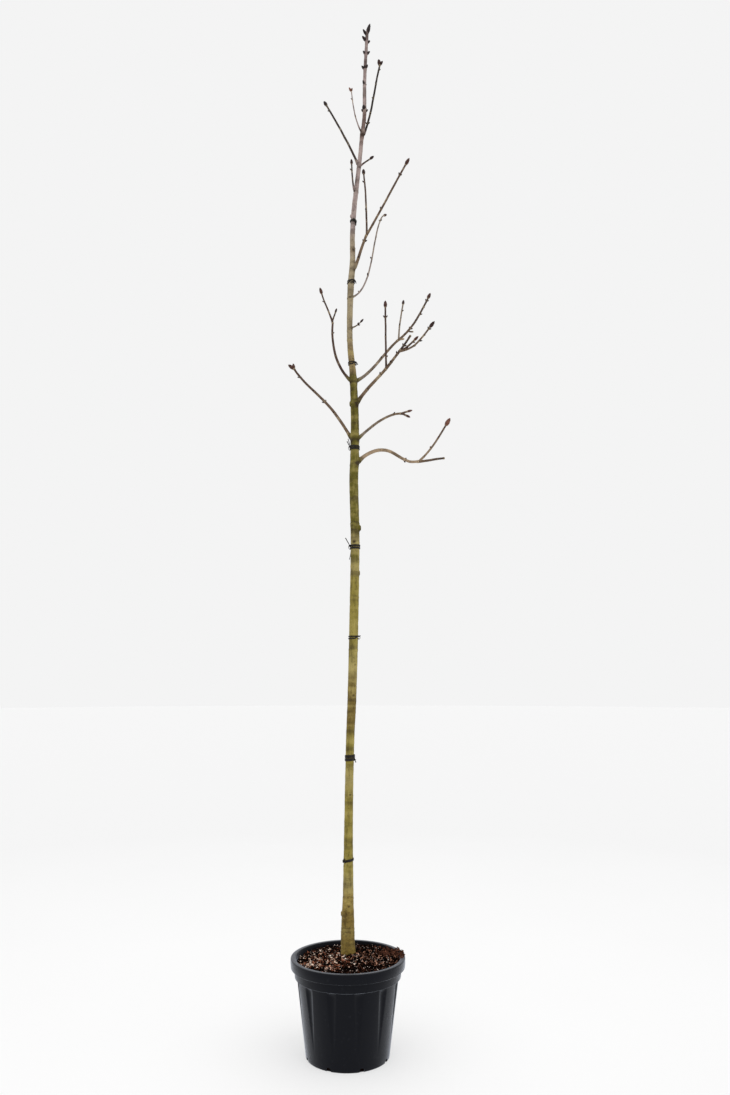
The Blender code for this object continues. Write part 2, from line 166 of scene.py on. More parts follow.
def make_surface_marks():
    """A shared group: broad patches, small specks and a fine grain."""
    group = bpy.data.node_groups.new("surface_marks", "ShaderNodeTree")
    add_socket = group.interface.new_socket
    add_socket("Place", in_out="INPUT", socket_type="NodeSocketVector")
    for kind in MARKS:
        add_socket(f"{kind} per metre", in_out="INPUT", socket_type="NodeSocketFloat")
        add_socket(kind, in_out="OUTPUT", socket_type="NodeSocketFloat")
    given = put(group, "NodeGroupInput").outputs
    put(group, "NodeGroupOutput", {
        kind: noise_of(group, given["Place"], given[f"{kind} per metre"], detail)
        for kind, detail in MARKS.items()
    })
    return group


SURFACE_MARKS = make_surface_marks()


def marks(tree, place, *scales):
    """The shared group placed in a material, with its own scale for each kind of mark."""
    inputs = {f"{kind} per metre": scale for kind, scale in zip(MARKS, scales)}
    inputs["Place"] = place
    return put(tree, "ShaderNodeGroup", inputs, node_tree=SURFACE_MARKS).outputs


def new_material(name, *scales):
    """A material with its tree, its Object coordinates and its marks."""
    material = bpy.data.materials.new(name)
    material.use_nodes = True
    tree = material.node_tree
    place = put(tree, "ShaderNodeTexCoord").outputs["Object"]
    return material, tree, place, marks(tree, place, *scales)


def dress(tree, colour, roughness, specular, relief, depth, more=None):
    """Feeds a material's shader.  The relief, from 0 to 1, raises the surface by the depth."""
    bump = new(tree, "ShaderNodeBump", {"Height": relief, "Distance": depth})
    inputs = {"Base Color": colour, "Roughness": roughness, "Specular IOR Level": specular}
    feed(tree, tree.nodes["Principled BSDF"], {**inputs, "Normal": bump, **(more or {})})


def make_black_plastic():
    """Satin moulded plastic with dust and a painted highlight on its upper faces, dull scuffs and a
    fine grain.
    """
    material, tree, _, seen = new_material("black_plastic", 9.0, 90.0, 1400.0)
    facing = put(tree, "ShaderNodeNewGeometry").outputs["Normal"]
    # faces that point up get dust, lightened further as a painted highlight on the rim
    lying = ranged(tree, up_part(tree, facing), 0.15, 0.95, 0.0, 0.60)
    dust = sum_of(tree, lying, ranged(tree, seen["Patches"], 0.42, 0.62), "MULTIPLY")
    dusted_and_lit = mixed(tree, dust, tint(BLACK), tint(DUST_AND_HIGHLIGHT_GREY))
    scuff = ranged(tree, seen["Specks"], 0.64, 0.80, 0.0, 0.5)
    colour = mixed(tree, scuff, dusted_and_lit, tint(SCUFFED_BLACK))
    gloss = ranged(tree, seen["Patches"], 0.3, 0.7, 0.24, 0.40)
    sheen = {"Sheen Weight": 0.86, "Sheen Roughness": 0.30, "Sheen Tint": tint(COOL_WHITE)}
    dress(tree, colour, gloss, 0.13, seen["Grain"], 0.00018,
          {"Specular Tint": tint(COOL_WHITE), **sheen})
    return material


def wall_radius(height):
    """Outside radius of the pot's wall, between the flutes."""
    return BASE_RADIUS + (WALL_TOP_RADIUS - BASE_RADIUS) * height / WALL_TOP


def flute_inset(heading, height):
    """How far a flute sets the wall in: a round bar that leans with the wall, and tapers."""
    if not FLUTE_FOOT < height < FLUTE_TOP + FLUTE_END:
        return 0.0
    share = min(1.0, (height - FLUTE_FOOT) / (FLUTE_TOP - FLUTE_FOOT))
    bar = FLUTE_FOOT_RADIUS + (FLUTE_TOP_RADIUS - FLUTE_FOOT_RADIUS) * share
    wall = wall_radius(height)
    middle = wall + bar - FLUTE_DEPTH * share
    spacing = 2 * pi / FLUTE_COUNT
    turned_from_flute = (heading - radians(FLUTE_TURN) + spacing / 2) % spacing - spacing / 2
    across = middle * sin(turned_from_flute)
    if abs(across) >= bar:
        return 0.0
    inset = wall - (middle * cos(turned_from_flute) - sqrt(bar * bar - across * across))
    softened = (inset + sqrt(inset * inset + FLUTE_EDGE * FLUTE_EDGE) - FLUTE_EDGE) / 2
    run_out = max(0.0, height - FLUTE_TOP) / FLUTE_END
    return max(0.0, softened) * (1 - run_out * run_out)


def rounded(corners, steps=4):
    """An outline through (radius, height, fillet) corners, each fillet a short curve."""
    outline = []
    for index, (radius, height, fillet) in enumerate(corners):
        here = Vector((radius, height))
        if not fillet:
            outline.append(here)
            continue
        before = Vector(corners[index - 1][:2])
        after = Vector(corners[index + 1][:2])
        start = here + (before - here).normalized() * fillet
        end = here + (after - here).normalized() * fillet
        for step in range(steps + 1):
            share = step / steps
            outline.append(start.lerp(here, share).lerp(here.lerp(end, share), share))
    return outline


def divided(outline, low, high, rows):
    """Splits the outline's long run from low to high into rows, for the flutes."""
    made = [outline[0]]
    for here, there in zip(outline, outline[1:]):
        crosses = min(here.y, there.y) < low and max(here.y, there.y) > high
        for row in range(1, rows if crosses else 1):
            made.append(here.lerp(there, row / rows))
        made.append(there)
    return made


def skin(name, rings, first_pole, last_pole):
    """A closed mesh over rings of points, with a fan to a pole at each end."""
    count = len(rings[0])
    points = [first_pole, *(point for ring in rings for point in ring), last_pole]
    faces = []
    for side in range(count):
        beyond = (side + 1) % count
        faces.append((0, 1 + beyond, 1 + side))
        for row in range(len(rings) - 1):
            low = 1 + row * count
            high = low + count
            faces.append((low + side, low + beyond, high + beyond, high + side))
        last = 1 + (len(rings) - 1) * count
        faces.append((len(points) - 1, last + side, last + beyond))
    mesh = bpy.data.meshes.new(name)
    mesh.from_pydata(points, [], faces)
    mesh.validate()
    return mesh


def headings(sides):
    return [2 * pi * side / sides for side in range(sides)]


UP = Vector((0, 0, 1))


def outward(heading):
    return Vector((cos(heading), sin(heading), 0))


def level_ring(height, sides, reach_at):
    """A level ring of points, each as far out as reach_at gives for its heading."""
    ring = []
    for heading in headings(sides):
        reach = reach_at(heading)
        ring.append((reach * cos(heading), reach * sin(heading), height))
    return ring


def new_object(name, data):
    made = bpy.data.objects.new(name, data)
    bpy.context.scene.collection.objects.link(made)
    return made


def add_piece(name, mesh, material, nodes=(), crease=60):
    """Puts a finished mesh in place as a piece of the part, riding on its one body."""
    piece = new_object(name, mesh)
    if not mesh.materials:
        mesh.materials.append(material)
    mesh.shade_smooth()
    mesh.set_sharp_from_angle(angle=radians(crease))
    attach(piece, "root")
    if nodes:
        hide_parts(*nodes)


def settled(host):
    """The plain mesh that an object's modifiers make of it.  The object is removed."""
    graph = bpy.context.evaluated_depsgraph_get()
    mesh = bpy.data.meshes.new_from_object(host.evaluated_get(graph))
    bpy.data.objects.remove(host, do_unlink=True)
    return mesh


def cut_away(mesh, cutters):
    """A mesh with the cutter objects taken out of it.  The cutters are removed."""
    block = new_object("block", mesh)
    group = bpy.data.collections.new("cutters")
    for cutter in cutters:
        group.objects.link(cutter)
    modifier = block.modifiers.new("cut", "BOOLEAN")
    modifier.operation = "DIFFERENCE"
    modifier.solver = "EXACT"
    modifier.operand_type = "COLLECTION"
    modifier.collection = group
    result = settled(block)
    for cutter in cutters:
        bpy.data.objects.remove(cutter, do_unlink=True)
    bpy.data.collections.remove(group)
    return result


def notch_cutters():
    """Short round bars that bite the drain notches out of the bottom corner."""
    cutters = []
    for index in range(NOTCH_COUNT):
        out = outward(radians(NOTCH_TURN + 360 * index / NOTCH_COUNT))
        across = UP.cross(out)
        start = out * (BASE_RADIUS - NOTCH_DEPTH) + UP * NOTCH_HEIGHT
        end = start + out * (3 * NOTCH_DEPTH)
        rings = [
            [place + (across * cos(turn) + UP * sin(turn)) * NOTCH_RADIUS for turn in headings(24)]
            for place in (start, end)
        ]
        cutters.append(bpy.data.objects.new("notch", skin("notch", rings, start, end)))
    return cutters


def build_pot():
    floor = FOOT_HOLLOW + PLASTIC
    corners = (
        (0.0, FOOT_HOLLOW, 0),
        (FOOT_RING - 0.003, FOOT_HOLLOW, 0.001),
        (FOOT_RING, 0.0, 0.001),
        (wall_radius(0), 0.0, 0.004),
        (WALL_TOP_RADIUS, WALL_TOP, 0.0012),
        (COLLAR_RADIUS, WALL_TOP + 0.003, 0.0015),
        (COLLAR_RADIUS + 0.002, COLLAR_TOP, 0.0015),
        (LIP_EDGE_RADIUS, COLLAR_TOP + 0.002, 0.002),
        (LIP_RADIUS, POT_HEIGHT - 0.018, 0.003),
        (LIP_RADIUS, POT_HEIGHT, 0.0042),
        (MOUTH_RADIUS + 0.001, POT_HEIGHT, 0.0025),
        (INNER_COLLAR + 0.0005, POT_HEIGHT - 0.020, 0.004),
        (INNER_COLLAR, WALL_TOP + 0.003, 0.0015),
        (WALL_TOP_RADIUS - PLASTIC, WALL_TOP, 0.0012),
        (wall_radius(floor) - PLASTIC, floor, 0.002),
        (0.0, floor, 0),
    )
    outline = divided(rounded(corners), 0.02, 0.24, WALL_ROWS)
    rings = [
        level_ring(height, POT_SIDES, lambda heading: radius - flute_inset(heading, height))
        for radius, height in outline[1:-1]
    ]
    mesh = skin("pot", rings, (0, 0, FOOT_HOLLOW), (0, 0, floor))
    return cut_away(mesh, notch_cutters())


POT = build_pot()
add_piece("pot_shell", POT, make_black_plastic(), ["pot"], crease=50)


# ---- Potting mix, the root ball -----------------------------------------------------
# The root ball fills the pot: a moist, dark mix of composted bark and peat, topped by
# hand with a loose mulch of shredded bark.  It is a low mound, a little higher on one
# side, and the coarse chips lie on it at all angles.
MIX_TOP = 0.320
MIX_FLAT_RADIUS = 0.088
MIX_SHOULDERS = ((0.130, 0.318), (0.160, 0.315))
MIX_EDGE_RADIUS = 0.1817
MIX_EDGE_HEIGHT = 0.311
MIX_TILT = 0.005
MIX_CLEARANCE = 0.0006      # between the mix and the plastic
MIX_SIDES = 150
MIX_TOP_RINGS = 52
CHIP_BED = 0.1765           # chips lie inside this radius

# near-black of damp peat, which is also painted shade in the gaps between the chips
PEAT_AND_SHADE_BLACK = (14, 5, 3)
DRY_PEAT = (34, 18, 12)

CHIP_SHAPES = 9
CHIP_LENGTH = 0.0130
CHIP_SHARES = (0.22, 0.58)  # a chip's width against its length, least and most
CHIP_THICKNESS = (0.0014, 0.0034)
CHIP_CLUMPS = 48.0          # per metre: the lighter chips lie in loose clumps
CHIP_HEAP = 0.0060          # how far above the bed the highest chips lie
HIGH_HEAP = 0.0130          # where they are heaped up to the lip
SPILL_LOWEST = POT_HEIGHT - 0.014  # they lie on the mouth's slope and on the lip
SPILL_RADIUS = 0.200
WIDE = ((0.0, 0.0), 0.30)   # a group's middle and radius: all over the bed
NEAR_LEFT = ((-0.088, -0.025), 0.125)
FAR_LEFT = ((-0.088, -0.030), 0.116)
NEAR_RIGHT = ((0.110, -0.010), 0.096)
HEAP = ((0.158, 0.052), 0.056)
SPILL = ((0.186, 0.036), 0.058)
Chips = namedtuple("Chips", "name spread where smallest largest seed dark light clumps bed heap",
                   defaults=(CHIP_CLUMPS, CHIP_BED, CHIP_HEAP))
CHIP_GROUPS = (
    # near-black chips strewn all over the bed: dark bark, and painted shade in the gaps between the
    # lighter chips
    Chips("bark_chips_black", 17000, WIDE, 0.40, 1.15, 3, (6, 3, 2), (18, 9, 7), 0.0),
    Chips("bark_chips_brown", 8000, WIDE, 0.35, 1.15, 5, (34, 18, 12), (80, 46, 32)),
    Chips("bark_chips_red", 10500, NEAR_LEFT, 0.32, 0.95, 8, (108, 60, 42), (184, 118, 90)),
    Chips("bark_chips_tan", 8800, NEAR_RIGHT, 0.30, 0.96, 13, (120, 76, 58), (206, 156, 130)),
    Chips("bark_chips_pale", 6000, FAR_LEFT, 0.34, 1.14, 21, (230, 182, 152), (255, 244, 228)),
    Chips("bark_crumbs_pale", 5000, WIDE, 0.20, 0.58, 34, (182, 150, 136), (252, 234, 222)),
    Chips("heaped_chips", 30000, HEAP, 0.45, 1.05, 44, (22, 11, 8), (118, 74, 56),
          0.0, MIX_EDGE_RADIUS, HIGH_HEAP),
    Chips("spilled_chips", 36000, SPILL, 0.45, 1.05, 55, (22, 11, 8), (116, 74, 56),
          0.0, SPILL_RADIUS),
)


def mix_height(x, y):
    """Height of the root ball's top: level in the middle, and falling to a tilted edge."""
    rows = ((MIX_FLAT_RADIUS, MIX_TOP), *MIX_SHOULDERS, (MIX_EDGE_RADIUS, MIX_EDGE_HEIGHT))
    reach = hypot(x, y)
    if reach <= MIX_FLAT_RADIUS:
        return MIX_TOP
    tilt = MIX_TILT * (reach - MIX_FLAT_RADIUS) / (MIX_EDGE_RADIUS - MIX_FLAT_RADIUS)
    for (near, high), (far, low) in zip(rows, rows[1:]):
        if reach <= far + 1e-6:
            return high + (low - high) * (reach - near) / (far - near) + tilt * x / reach
    return MIX_EDGE_HEIGHT + tilt * x / reach


def build_root_ball():
    """A closed body: crumbly top, sides that follow the inside of the pot, flat foot."""
    foot = FOOT_HOLLOW + PLASTIC + MIX_CLEARANCE
    rings = [
        level_ring(height, MIX_SIDES, lambda heading: (
            wall_radius(height) - PLASTIC - MIX_CLEARANCE - flute_inset(heading, height)))
        for height in (foot + (0.252 - foot) * row / 14 for row in range(15))
    ]
    for height in (0.262, 0.285, 0.303):
        rings.append(level_ring(height, MIX_SIDES, lambda _: INNER_COLLAR - MIX_CLEARANCE))
    for row in range(MIX_TOP_RINGS):
        reach = MIX_EDGE_RADIUS * (1 - row / MIX_TOP_RINGS)
        ring = []
        for x, y, _ in level_ring(0, MIX_SIDES, lambda _: reach):
            lumps = noise.noise(Vector((x, y, 0)) * 45) * 0.0028
            crumbs = noise.noise(Vector((x, y, 3)) * 210) * 0.0016
            ring.append((x, y, mix_height(x, y) + lumps + crumbs - 0.001))
        rings.append(ring)
    return skin("root_ball", rings, (0, 0, foot), (0, 0, MIX_TOP))


def make_peat():
    """Moist peat and fine bark: almost black where damp, a black that is also painted shade between
    the chips, and brown where it has dried.
    """
    material, tree, _, seen = new_material("moist_peat", 26.0, 260.0, 900.0)
    dry = ranged(tree, seen["Patches"], 0.40, 0.68)
    crumb = ranged(tree, seen["Specks"], 0.35, 0.70)
    shade = mixed(tree, dry, tint(PEAT_AND_SHADE_BLACK), tint(DRY_PEAT))
    colour = mixed(tree, crumb, tint(PEAT_AND_SHADE_BLACK), shade)
    relief = sum_of(tree, seen["Specks"], seen["Grain"])
    dress(tree, colour, ranged(tree, dry, 0.0, 1.0, 0.62, 0.95), 0.0, relief, 0.0016)
    return material


def make_chip_bark(name, dark, light):
    """Torn bark: its own colour, streaked by fibres, darker in the pits, dull."""
    material, tree, _, seen = new_material(name, 70.0, 420.0, 1500.0)
    tone = ranged(tree, seen["Patches"], 0.34, 0.66)
    pits = ranged(tree, seen["Specks"], 0.30, 0.46, 0.55, 0.0)
    colour = mixed(tree, pits, mixed(tree, tone, tint(dark), tint(light)), tint(PEAT_AND_SHADE_BLACK))
    gloss = ranged(tree, seen["Grain"], 0.3, 0.7, 0.62, 0.9)
    dress(tree, colour, gloss, 0.03, seen["Grain"], 0.0006)
    return material


def chip_shape(name, draw):
    """A flat splinter of bark: an uneven outline, thicker in the middle than at its ends."""
    length = CHIP_LENGTH
    width = length * draw.uniform(*CHIP_SHARES)
    thickness = draw.uniform(*CHIP_THICKNESS)
    corners = 7
    low = []
    high = []
    for corner in range(corners):
        turn = 2 * pi * (corner + draw.uniform(-0.3, 0.3)) / corners
        x = cos(turn) * length / 2 * draw.uniform(0.8, 1.1)
        y = sin(turn) * width / 2 * draw.uniform(0.7, 1.2)
        bend = -thickness * 0.9 * (2 * x / length) ** 2
        low.append((x, y, bend - thickness / 2 * draw.uniform(0.3, 1.0)))
        high.append((x * 0.86, y * 0.82, bend + thickness / 2 * draw.uniform(0.4, 1.1)))
    mesh = skin(name, [low, high], (0, 0, -thickness / 2), (0, 0, thickness * 0.62))
    return bpy.data.objects.new(name, mesh)


def new_growth(name, **inputs):
    """A Geometry Nodes tree with geometry in and out, and inputs of its own."""
    tree = bpy.data.node_groups.new(name, "GeometryNodeTree")
    for label, kind in {"Geometry": "Geometry", **inputs}.items():
        tree.interface.new_socket(label, in_out="INPUT", socket_type="NodeSocket" + kind)
    tree.interface.new_socket("Geometry", in_out="OUTPUT", socket_type="NodeSocketGeometry")
    return tree, put(tree, "NodeGroupInput").outputs


def end_growth(tree, geometry, material):
    """Makes the instances real, gives them their material and hands the geometry out."""
    real = new(tree, "GeometryNodeRealizeInstances", {"Geometry": geometry})
    painted = new(tree, "GeometryNodeSetMaterial", {"Geometry": real, "Material": material})
    put(tree, "NodeGroupOutput", {"Geometry": painted})


def set_out(tree, points, shape, rotation, size, material):
    """Sets a shape on each point and ends the tree.  Shapes of a collection are mixed."""
    end_growth(tree, new(tree, "GeometryNodeInstanceOnPoints", {
        "Points": points, "Instance": shape, "Rotation": rotation, "Scale": size,
        "Pick Instance": shape.node.bl_idname == "GeometryNodeCollectionInfo",
    }), material)


def grow(name, mesh, tree, **values):
    """The plain mesh that a tree makes of a mesh, with its inputs by name."""
    host = new_object(name, mesh)
    modifier = host.modifiers.new(name, "NODES")
    modifier.node_group = tree
    for item in tree.interface.items_tree:
        if item.in_out == "INPUT" and item.name in values:
            modifier[item.identifier] = values[item.name]
    made = settled(host)
    made.name = name
    return made


def random_value(tree, kind, low, high, seed):
    """A Random Value node's output, for a FLOAT or a FLOAT_VECTOR."""
    first = 2 if kind == "FLOAT" else 0
    inputs = {first: low, first + 1: high, "Seed": seed}
    made = put(tree, "FunctionNodeRandomValue", inputs, data_type=kind)
    return made.outputs[1 if kind == "FLOAT" else 0]


def vector_of(tree, operation, *vectors):
    """What vector maths makes of its vectors: another vector, or a length."""
    made = put(tree, "ShaderNodeVectorMath", dict(enumerate(vectors)), operation=operation)
    return made.outputs["Value" if operation == "LENGTH" else "Vector"]


def compared(tree, first, operation, second):
    return new(tree, "FunctionNodeCompare", {"A": first, "B": second}, operation=operation)


def points_on(tree, given, selection, density):
    """A node that strews points over the geometry, by the tree's own seed."""
    return put(tree, "GeometryNodeDistributePointsOnFaces", {
        "Mesh": given["Geometry"], "Selection": selection, "Density": density,
        "Seed": given["Seed"],
    }, distribute_method="RANDOM").outputs


def make_chip_scatter():
    """Strews shapes over the top of a mesh, inside a round bed of its own."""
    tree, given = new_growth(
        "bark_mulch", Shapes="Collection", Bed="Float", Lowest="Float", Middle="Vector",
        Radius="Float", Spread="Float", Clumps="Float", Smallest="Float", Largest="Float",
        Highest="Vector", Seed="Int", Bark="Material",
    )
    place = new(tree, "GeometryNodeInputPosition")
    flat = vector_of(tree, "MULTIPLY", place, (1, 1, 0))
    offset = vector_of(tree, "SUBTRACT", flat, given["Middle"])
    on_top = compared(tree, up_part(tree, place), "GREATER_THAN", given["Lowest"])
    in_bed = compared(tree, vector_of(tree, "LENGTH", flat), "LESS_THAN", given["Bed"])
    in_both = new(tree, "FunctionNodeBooleanMath", {0: on_top, 1: in_bed})
    away = sum_of(tree, vector_of(tree, "LENGTH", offset), given["Radius"], "DIVIDE")
    thinning = ranged(tree, away, 0.65, 1.15, 1.0, 0.0)
    clumps = ranged(tree, noise_of(tree, place, given["Clumps"], 2.0), 0.42, 0.58, 0.15, 1.85)
    crowd = sum_of(tree, given["Spread"], thinning, "MULTIPLY")
    crowd = sum_of(tree, crowd, clumps, "MULTIPLY")
    points = points_on(tree, given, in_both, crowd)["Points"]
    lift = random_value(tree, "FLOAT_VECTOR", (0, 0, 0), given["Highest"], given["Seed"])
    lifted = new(tree, "GeometryNodeSetPosition", {"Geometry": points, "Offset": lift})
    tumble = random_value(tree, "FLOAT_VECTOR", (-0.9, -0.9, 0), (0.9, 0.9, 2 * pi), given["Seed"])
    turn = new(tree, "FunctionNodeEulerToRotation", {"Euler": tumble})
    size = random_value(tree, "FLOAT", given["Smallest"], given["Largest"], given["Seed"])
    shapes = new(tree, "GeometryNodeCollectionInfo",
                 {"Collection": given["Shapes"], "Separate Children": True})
    set_out(tree, lifted, shapes, turn, size, given["Bark"])
    return tree


def build_mulch(root_ball, pot):
    """A mesh for each group of chips: on the root ball, or spilled on the pot's lip."""
    draw = Random(17)
    shapes = bpy.data.collections.new("chip_shapes")
    for index in range(CHIP_SHAPES):
        shapes.objects.link(chip_shape(f"chip_{index}", draw))
    scatter = make_chip_scatter()
    for group in CHIP_GROUPS:
        spilled = group.bed == SPILL_RADIUS
        middle, radius = group.where
        bark = make_chip_bark(group.name, group.dark, group.light)
        mesh = grow(
            group.name, pot if spilled else root_ball, scatter, Shapes=shapes, Bed=group.bed,
            Lowest=SPILL_LOWEST if spilled else MIX_EDGE_HEIGHT - 0.012, Middle=(*middle, 0.0),
            Radius=radius, Spread=float(group.spread), Clumps=group.clumps,
            Highest=(0.0, 0.0, group.heap), Smallest=group.smallest, Largest=group.largest,
            Seed=group.seed, Bark=bark,
        )
        add_piece(group.name, mesh, bark, crease=25)
    for shape in list(shapes.objects):
        bpy.data.objects.remove(shape, do_unlink=True)
    bpy.data.collections.remove(shapes)


ROOT_BALL = build_root_ball()
build_mulch(ROOT_BALL, POT)
add_piece("root_ball", ROOT_BALL, make_peat(), ["potting_mix"], crease=40)


# ---- Trunk --------------------------------------------------------------------------
# One straight young stem, rooted in the mix, smooth barked: ochre and ringed at its
# foot, olive to mid height, grey brown in the crown and pinkish grey on the last year's
# leader.  Side shoots were pruned off it as it grew, which left knobs and round scars.
TRUNK_SET_BACK = 0.050
TRUNK_WANDER = 0.004
TRUNK_WANDER_LENGTH = 1.7
TRUNK_FOOT = 0.3203
TRUNK_SUNK = 0.008          # the foot goes this far into the mulch
TRUNK_TOP = 3.985
TRUNK_COURSE = (            # height, lean along +X, thickness
    (TRUNK_FOOT, -0.002, 0.0520),
    (0.430, -0.002, 0.0460),
    (0.510, -0.001, 0.0390),
    (0.780, 0.000, 0.0318),
    (1.070, 0.005, 0.0310),
    (1.215, 0.011, 0.0330),
    (1.515, 0.018, 0.0342),
    (1.820, 0.022, 0.0340),
    (2.055, 0.0165, 0.0345),
    (2.150, 0.0195, 0.0340),
    (2.300, 0.020, 0.0318),
    (2.480, 0.0125, 0.0272),
    (2.620, 0.000, 0.0226),
    (2.790, 0.0005, 0.0240),
    (2.860, 0.0035, 0.0262),
    (2.960, 0.010, 0.0216),
    (3.060, 0.009, 0.0202),
    (3.180, 0.0155, 0.0204),
    (3.300, 0.028, 0.0185),
    (3.400, 0.0385, 0.0165),
    (3.500, 0.047, 0.0160),
    (3.590, 0.057, 0.0160),
    (3.760, 0.0585, 0.0142),
    (TRUNK_TOP, 0.069, 0.0130),
)
TRUNK_SIDES = 56
TRUNK_STEP = 0.0028

Knob = namedtuple("Knob", "height heading proud width")
KNOBS = (                   # pruned side shoots, grown over
    Knob(0.455, 180, 0.0045, 0.010),
    Knob(1.692, 0, 0.0035, 0.010),
    Knob(1.866, 350, 0.0075, 0.014),
    Knob(1.874, 235, 0.0028, 0.016),
    Knob(2.362, 185, 0.0050, 0.011),
    Knob(2.375, 300, 0.0022, 0.012),
    Knob(3.150, 190, 0.0042, 0.008),
)
Scar = namedtuple("Scar", "height heading radius")
SCARS = (                   # small round scars, dark in the middle
    Scar(0.392, 236, 0.0040),
    Scar(0.483, 279, 0.0080),
    Scar(0.560, 60, 0.0045),
    Scar(0.872, 285, 0.0040),
    Scar(1.120, 95, 0.0050),
    Scar(1.232, 292, 0.0055),
    Scar(1.345, 300, 0.0045),
    Scar(1.610, 110, 0.0045),
    Scar(1.811, 258, 0.0075),
    Scar(2.020, 40, 0.0040),
    Scar(2.545, 300, 0.0040),
    Scar(2.800, 268, 0.0055),
    Scar(2.950, 120, 0.0034),
    Scar(3.002, 292, 0.0130),
    Scar(3.255, 236, 0.0050),
    Scar(3.505, 280, 0.0150),
    Scar(3.630, 246, 0.0080),
)
StainAndShade = namedtuple("StainAndShade", "height heading reach dark")
STAINS_AND_SHADE = (                  # dark patches at the foot and on the trunk; those just under the limbs are painted shade
    StainAndShade(0.400, 280, 0.010, 0.55),
    StainAndShade(0.412, 290, 0.008, 0.50),
    StainAndShade(1.880, 300, 0.011, 0.50),
    StainAndShade(1.808, 250, 0.012, 0.55),
    StainAndShade(2.052, 235, 0.012, 0.45),
    StainAndShade(2.119, 318, 0.019, 1.00),
    StainAndShade(2.207, 212, 0.018, 0.85),
    StainAndShade(2.355, 320, 0.014, 0.70),
)
Ring = namedtuple("Ring", "height proud dark")
RINGS = (                   # where a year's growth stopped
    Ring(0.352, 0.0003, 0.25), Ring(0.368, 0.0004, 0.50), Ring(0.381, 0.0004, 0.45),
    Ring(0.392, 0.0008, 0.75), Ring(0.405, 0.0005, 0.60), Ring(0.428, 0.0003, 0.20),
    Ring(0.510, 0.0007, 0.65), Ring(0.620, 0.0005, 0.35), Ring(0.870, 0.0004, 0.40),
    Ring(1.030, 0.0004, 0.30), Ring(1.170, 0.0006, 0.35), Ring(1.262, 0.0004, 0.25),
    Ring(1.402, 0.0009, 0.45), Ring(1.600, 0.0007, 0.40), Ring(1.810, 0.0006, 0.50),
    Ring(1.884, 0.0012, 0.80), Ring(2.240, 0.0007, 0.40), Ring(2.372, 0.0008, 0.50),
    Ring(2.462, 0.0009, 0.40), Ring(2.626, 0.0008, 0.45), Ring(2.800, 0.0007, 0.40),
    Ring(2.882, 0.0006, 0.30), Ring(3.010, 0.0009, 0.60), Ring(3.250, 0.0008, 0.70),
    Ring(3.262, 0.0007, 0.50), Ring(3.380, 0.0007, 0.50), Ring(3.515, 0.0009, 0.60),
    Ring(3.628, 0.0012, 0.80), Ring(3.736, 0.0006, 0.40), Ring(3.810, 0.0006, 0.45),
    Ring(3.880, 0.0006, 0.45), Ring(3.938, 0.0006, 0.40),
)
OCHRE = (141, 118, 55)
OLIVE = (139, 126, 56)
SALLOW = (158, 144, 90)
UMBER = (112, 94, 42)
MOSS = (94, 87, 22)
FAWN = (140, 120, 84)
PUTTY = (155, 141, 113)
NODE_BROWN = (104, 80, 50)
ROSE_GREY = (170, 152, 148)
DUSK_ROSE = (115, 94, 88)
ROSE = (134, 116, 114)
BARK_COURSE = (             # height, and the colour of the bark there
    (0.320, OCHRE), (0.520, OCHRE), (0.555, SALLOW), (0.610, OLIVE), (0.860, OLIVE),
    (0.920, SALLOW), (0.990, OLIVE), (1.060, OLIVE), (1.125, UMBER), (1.275, UMBER),
    (1.320, SALLOW), (1.420, OLIVE), (1.660, OLIVE), (1.710, SALLOW), (1.755, MOSS),
    (1.795, SALLOW), (1.840, SALLOW), (1.856, MOSS), (2.470, MOSS), (2.495, FAWN),
    (2.580, FAWN), (2.640, PUTTY), (2.980, PUTTY), (3.002, NODE_BROWN), (3.024, PUTTY),
    (3.100, ROSE_GREY), (3.430, ROSE_GREY), (3.490, DUSK_ROSE), (3.600, DUSK_ROSE),
    (3.670, ROSE_GREY), (3.740, ROSE_GREY), (3.790, ROSE),
)
CRACK_AND_SHADE_BROWN = (44, 30, 16)
WORN_PALE = (188, 171, 104)
WORN_ROSE = (184, 168, 156)
ROSE_FROM = 2.55            # the worn streaks turn from yellow to rose between these
ROSE_PAST = 3.10
CORK_BROWN = (70, 50, 26)
CORK_PALE = (170, 150, 104)
LENTICEL_SPREAD = 2600.0    # pores on a square metre


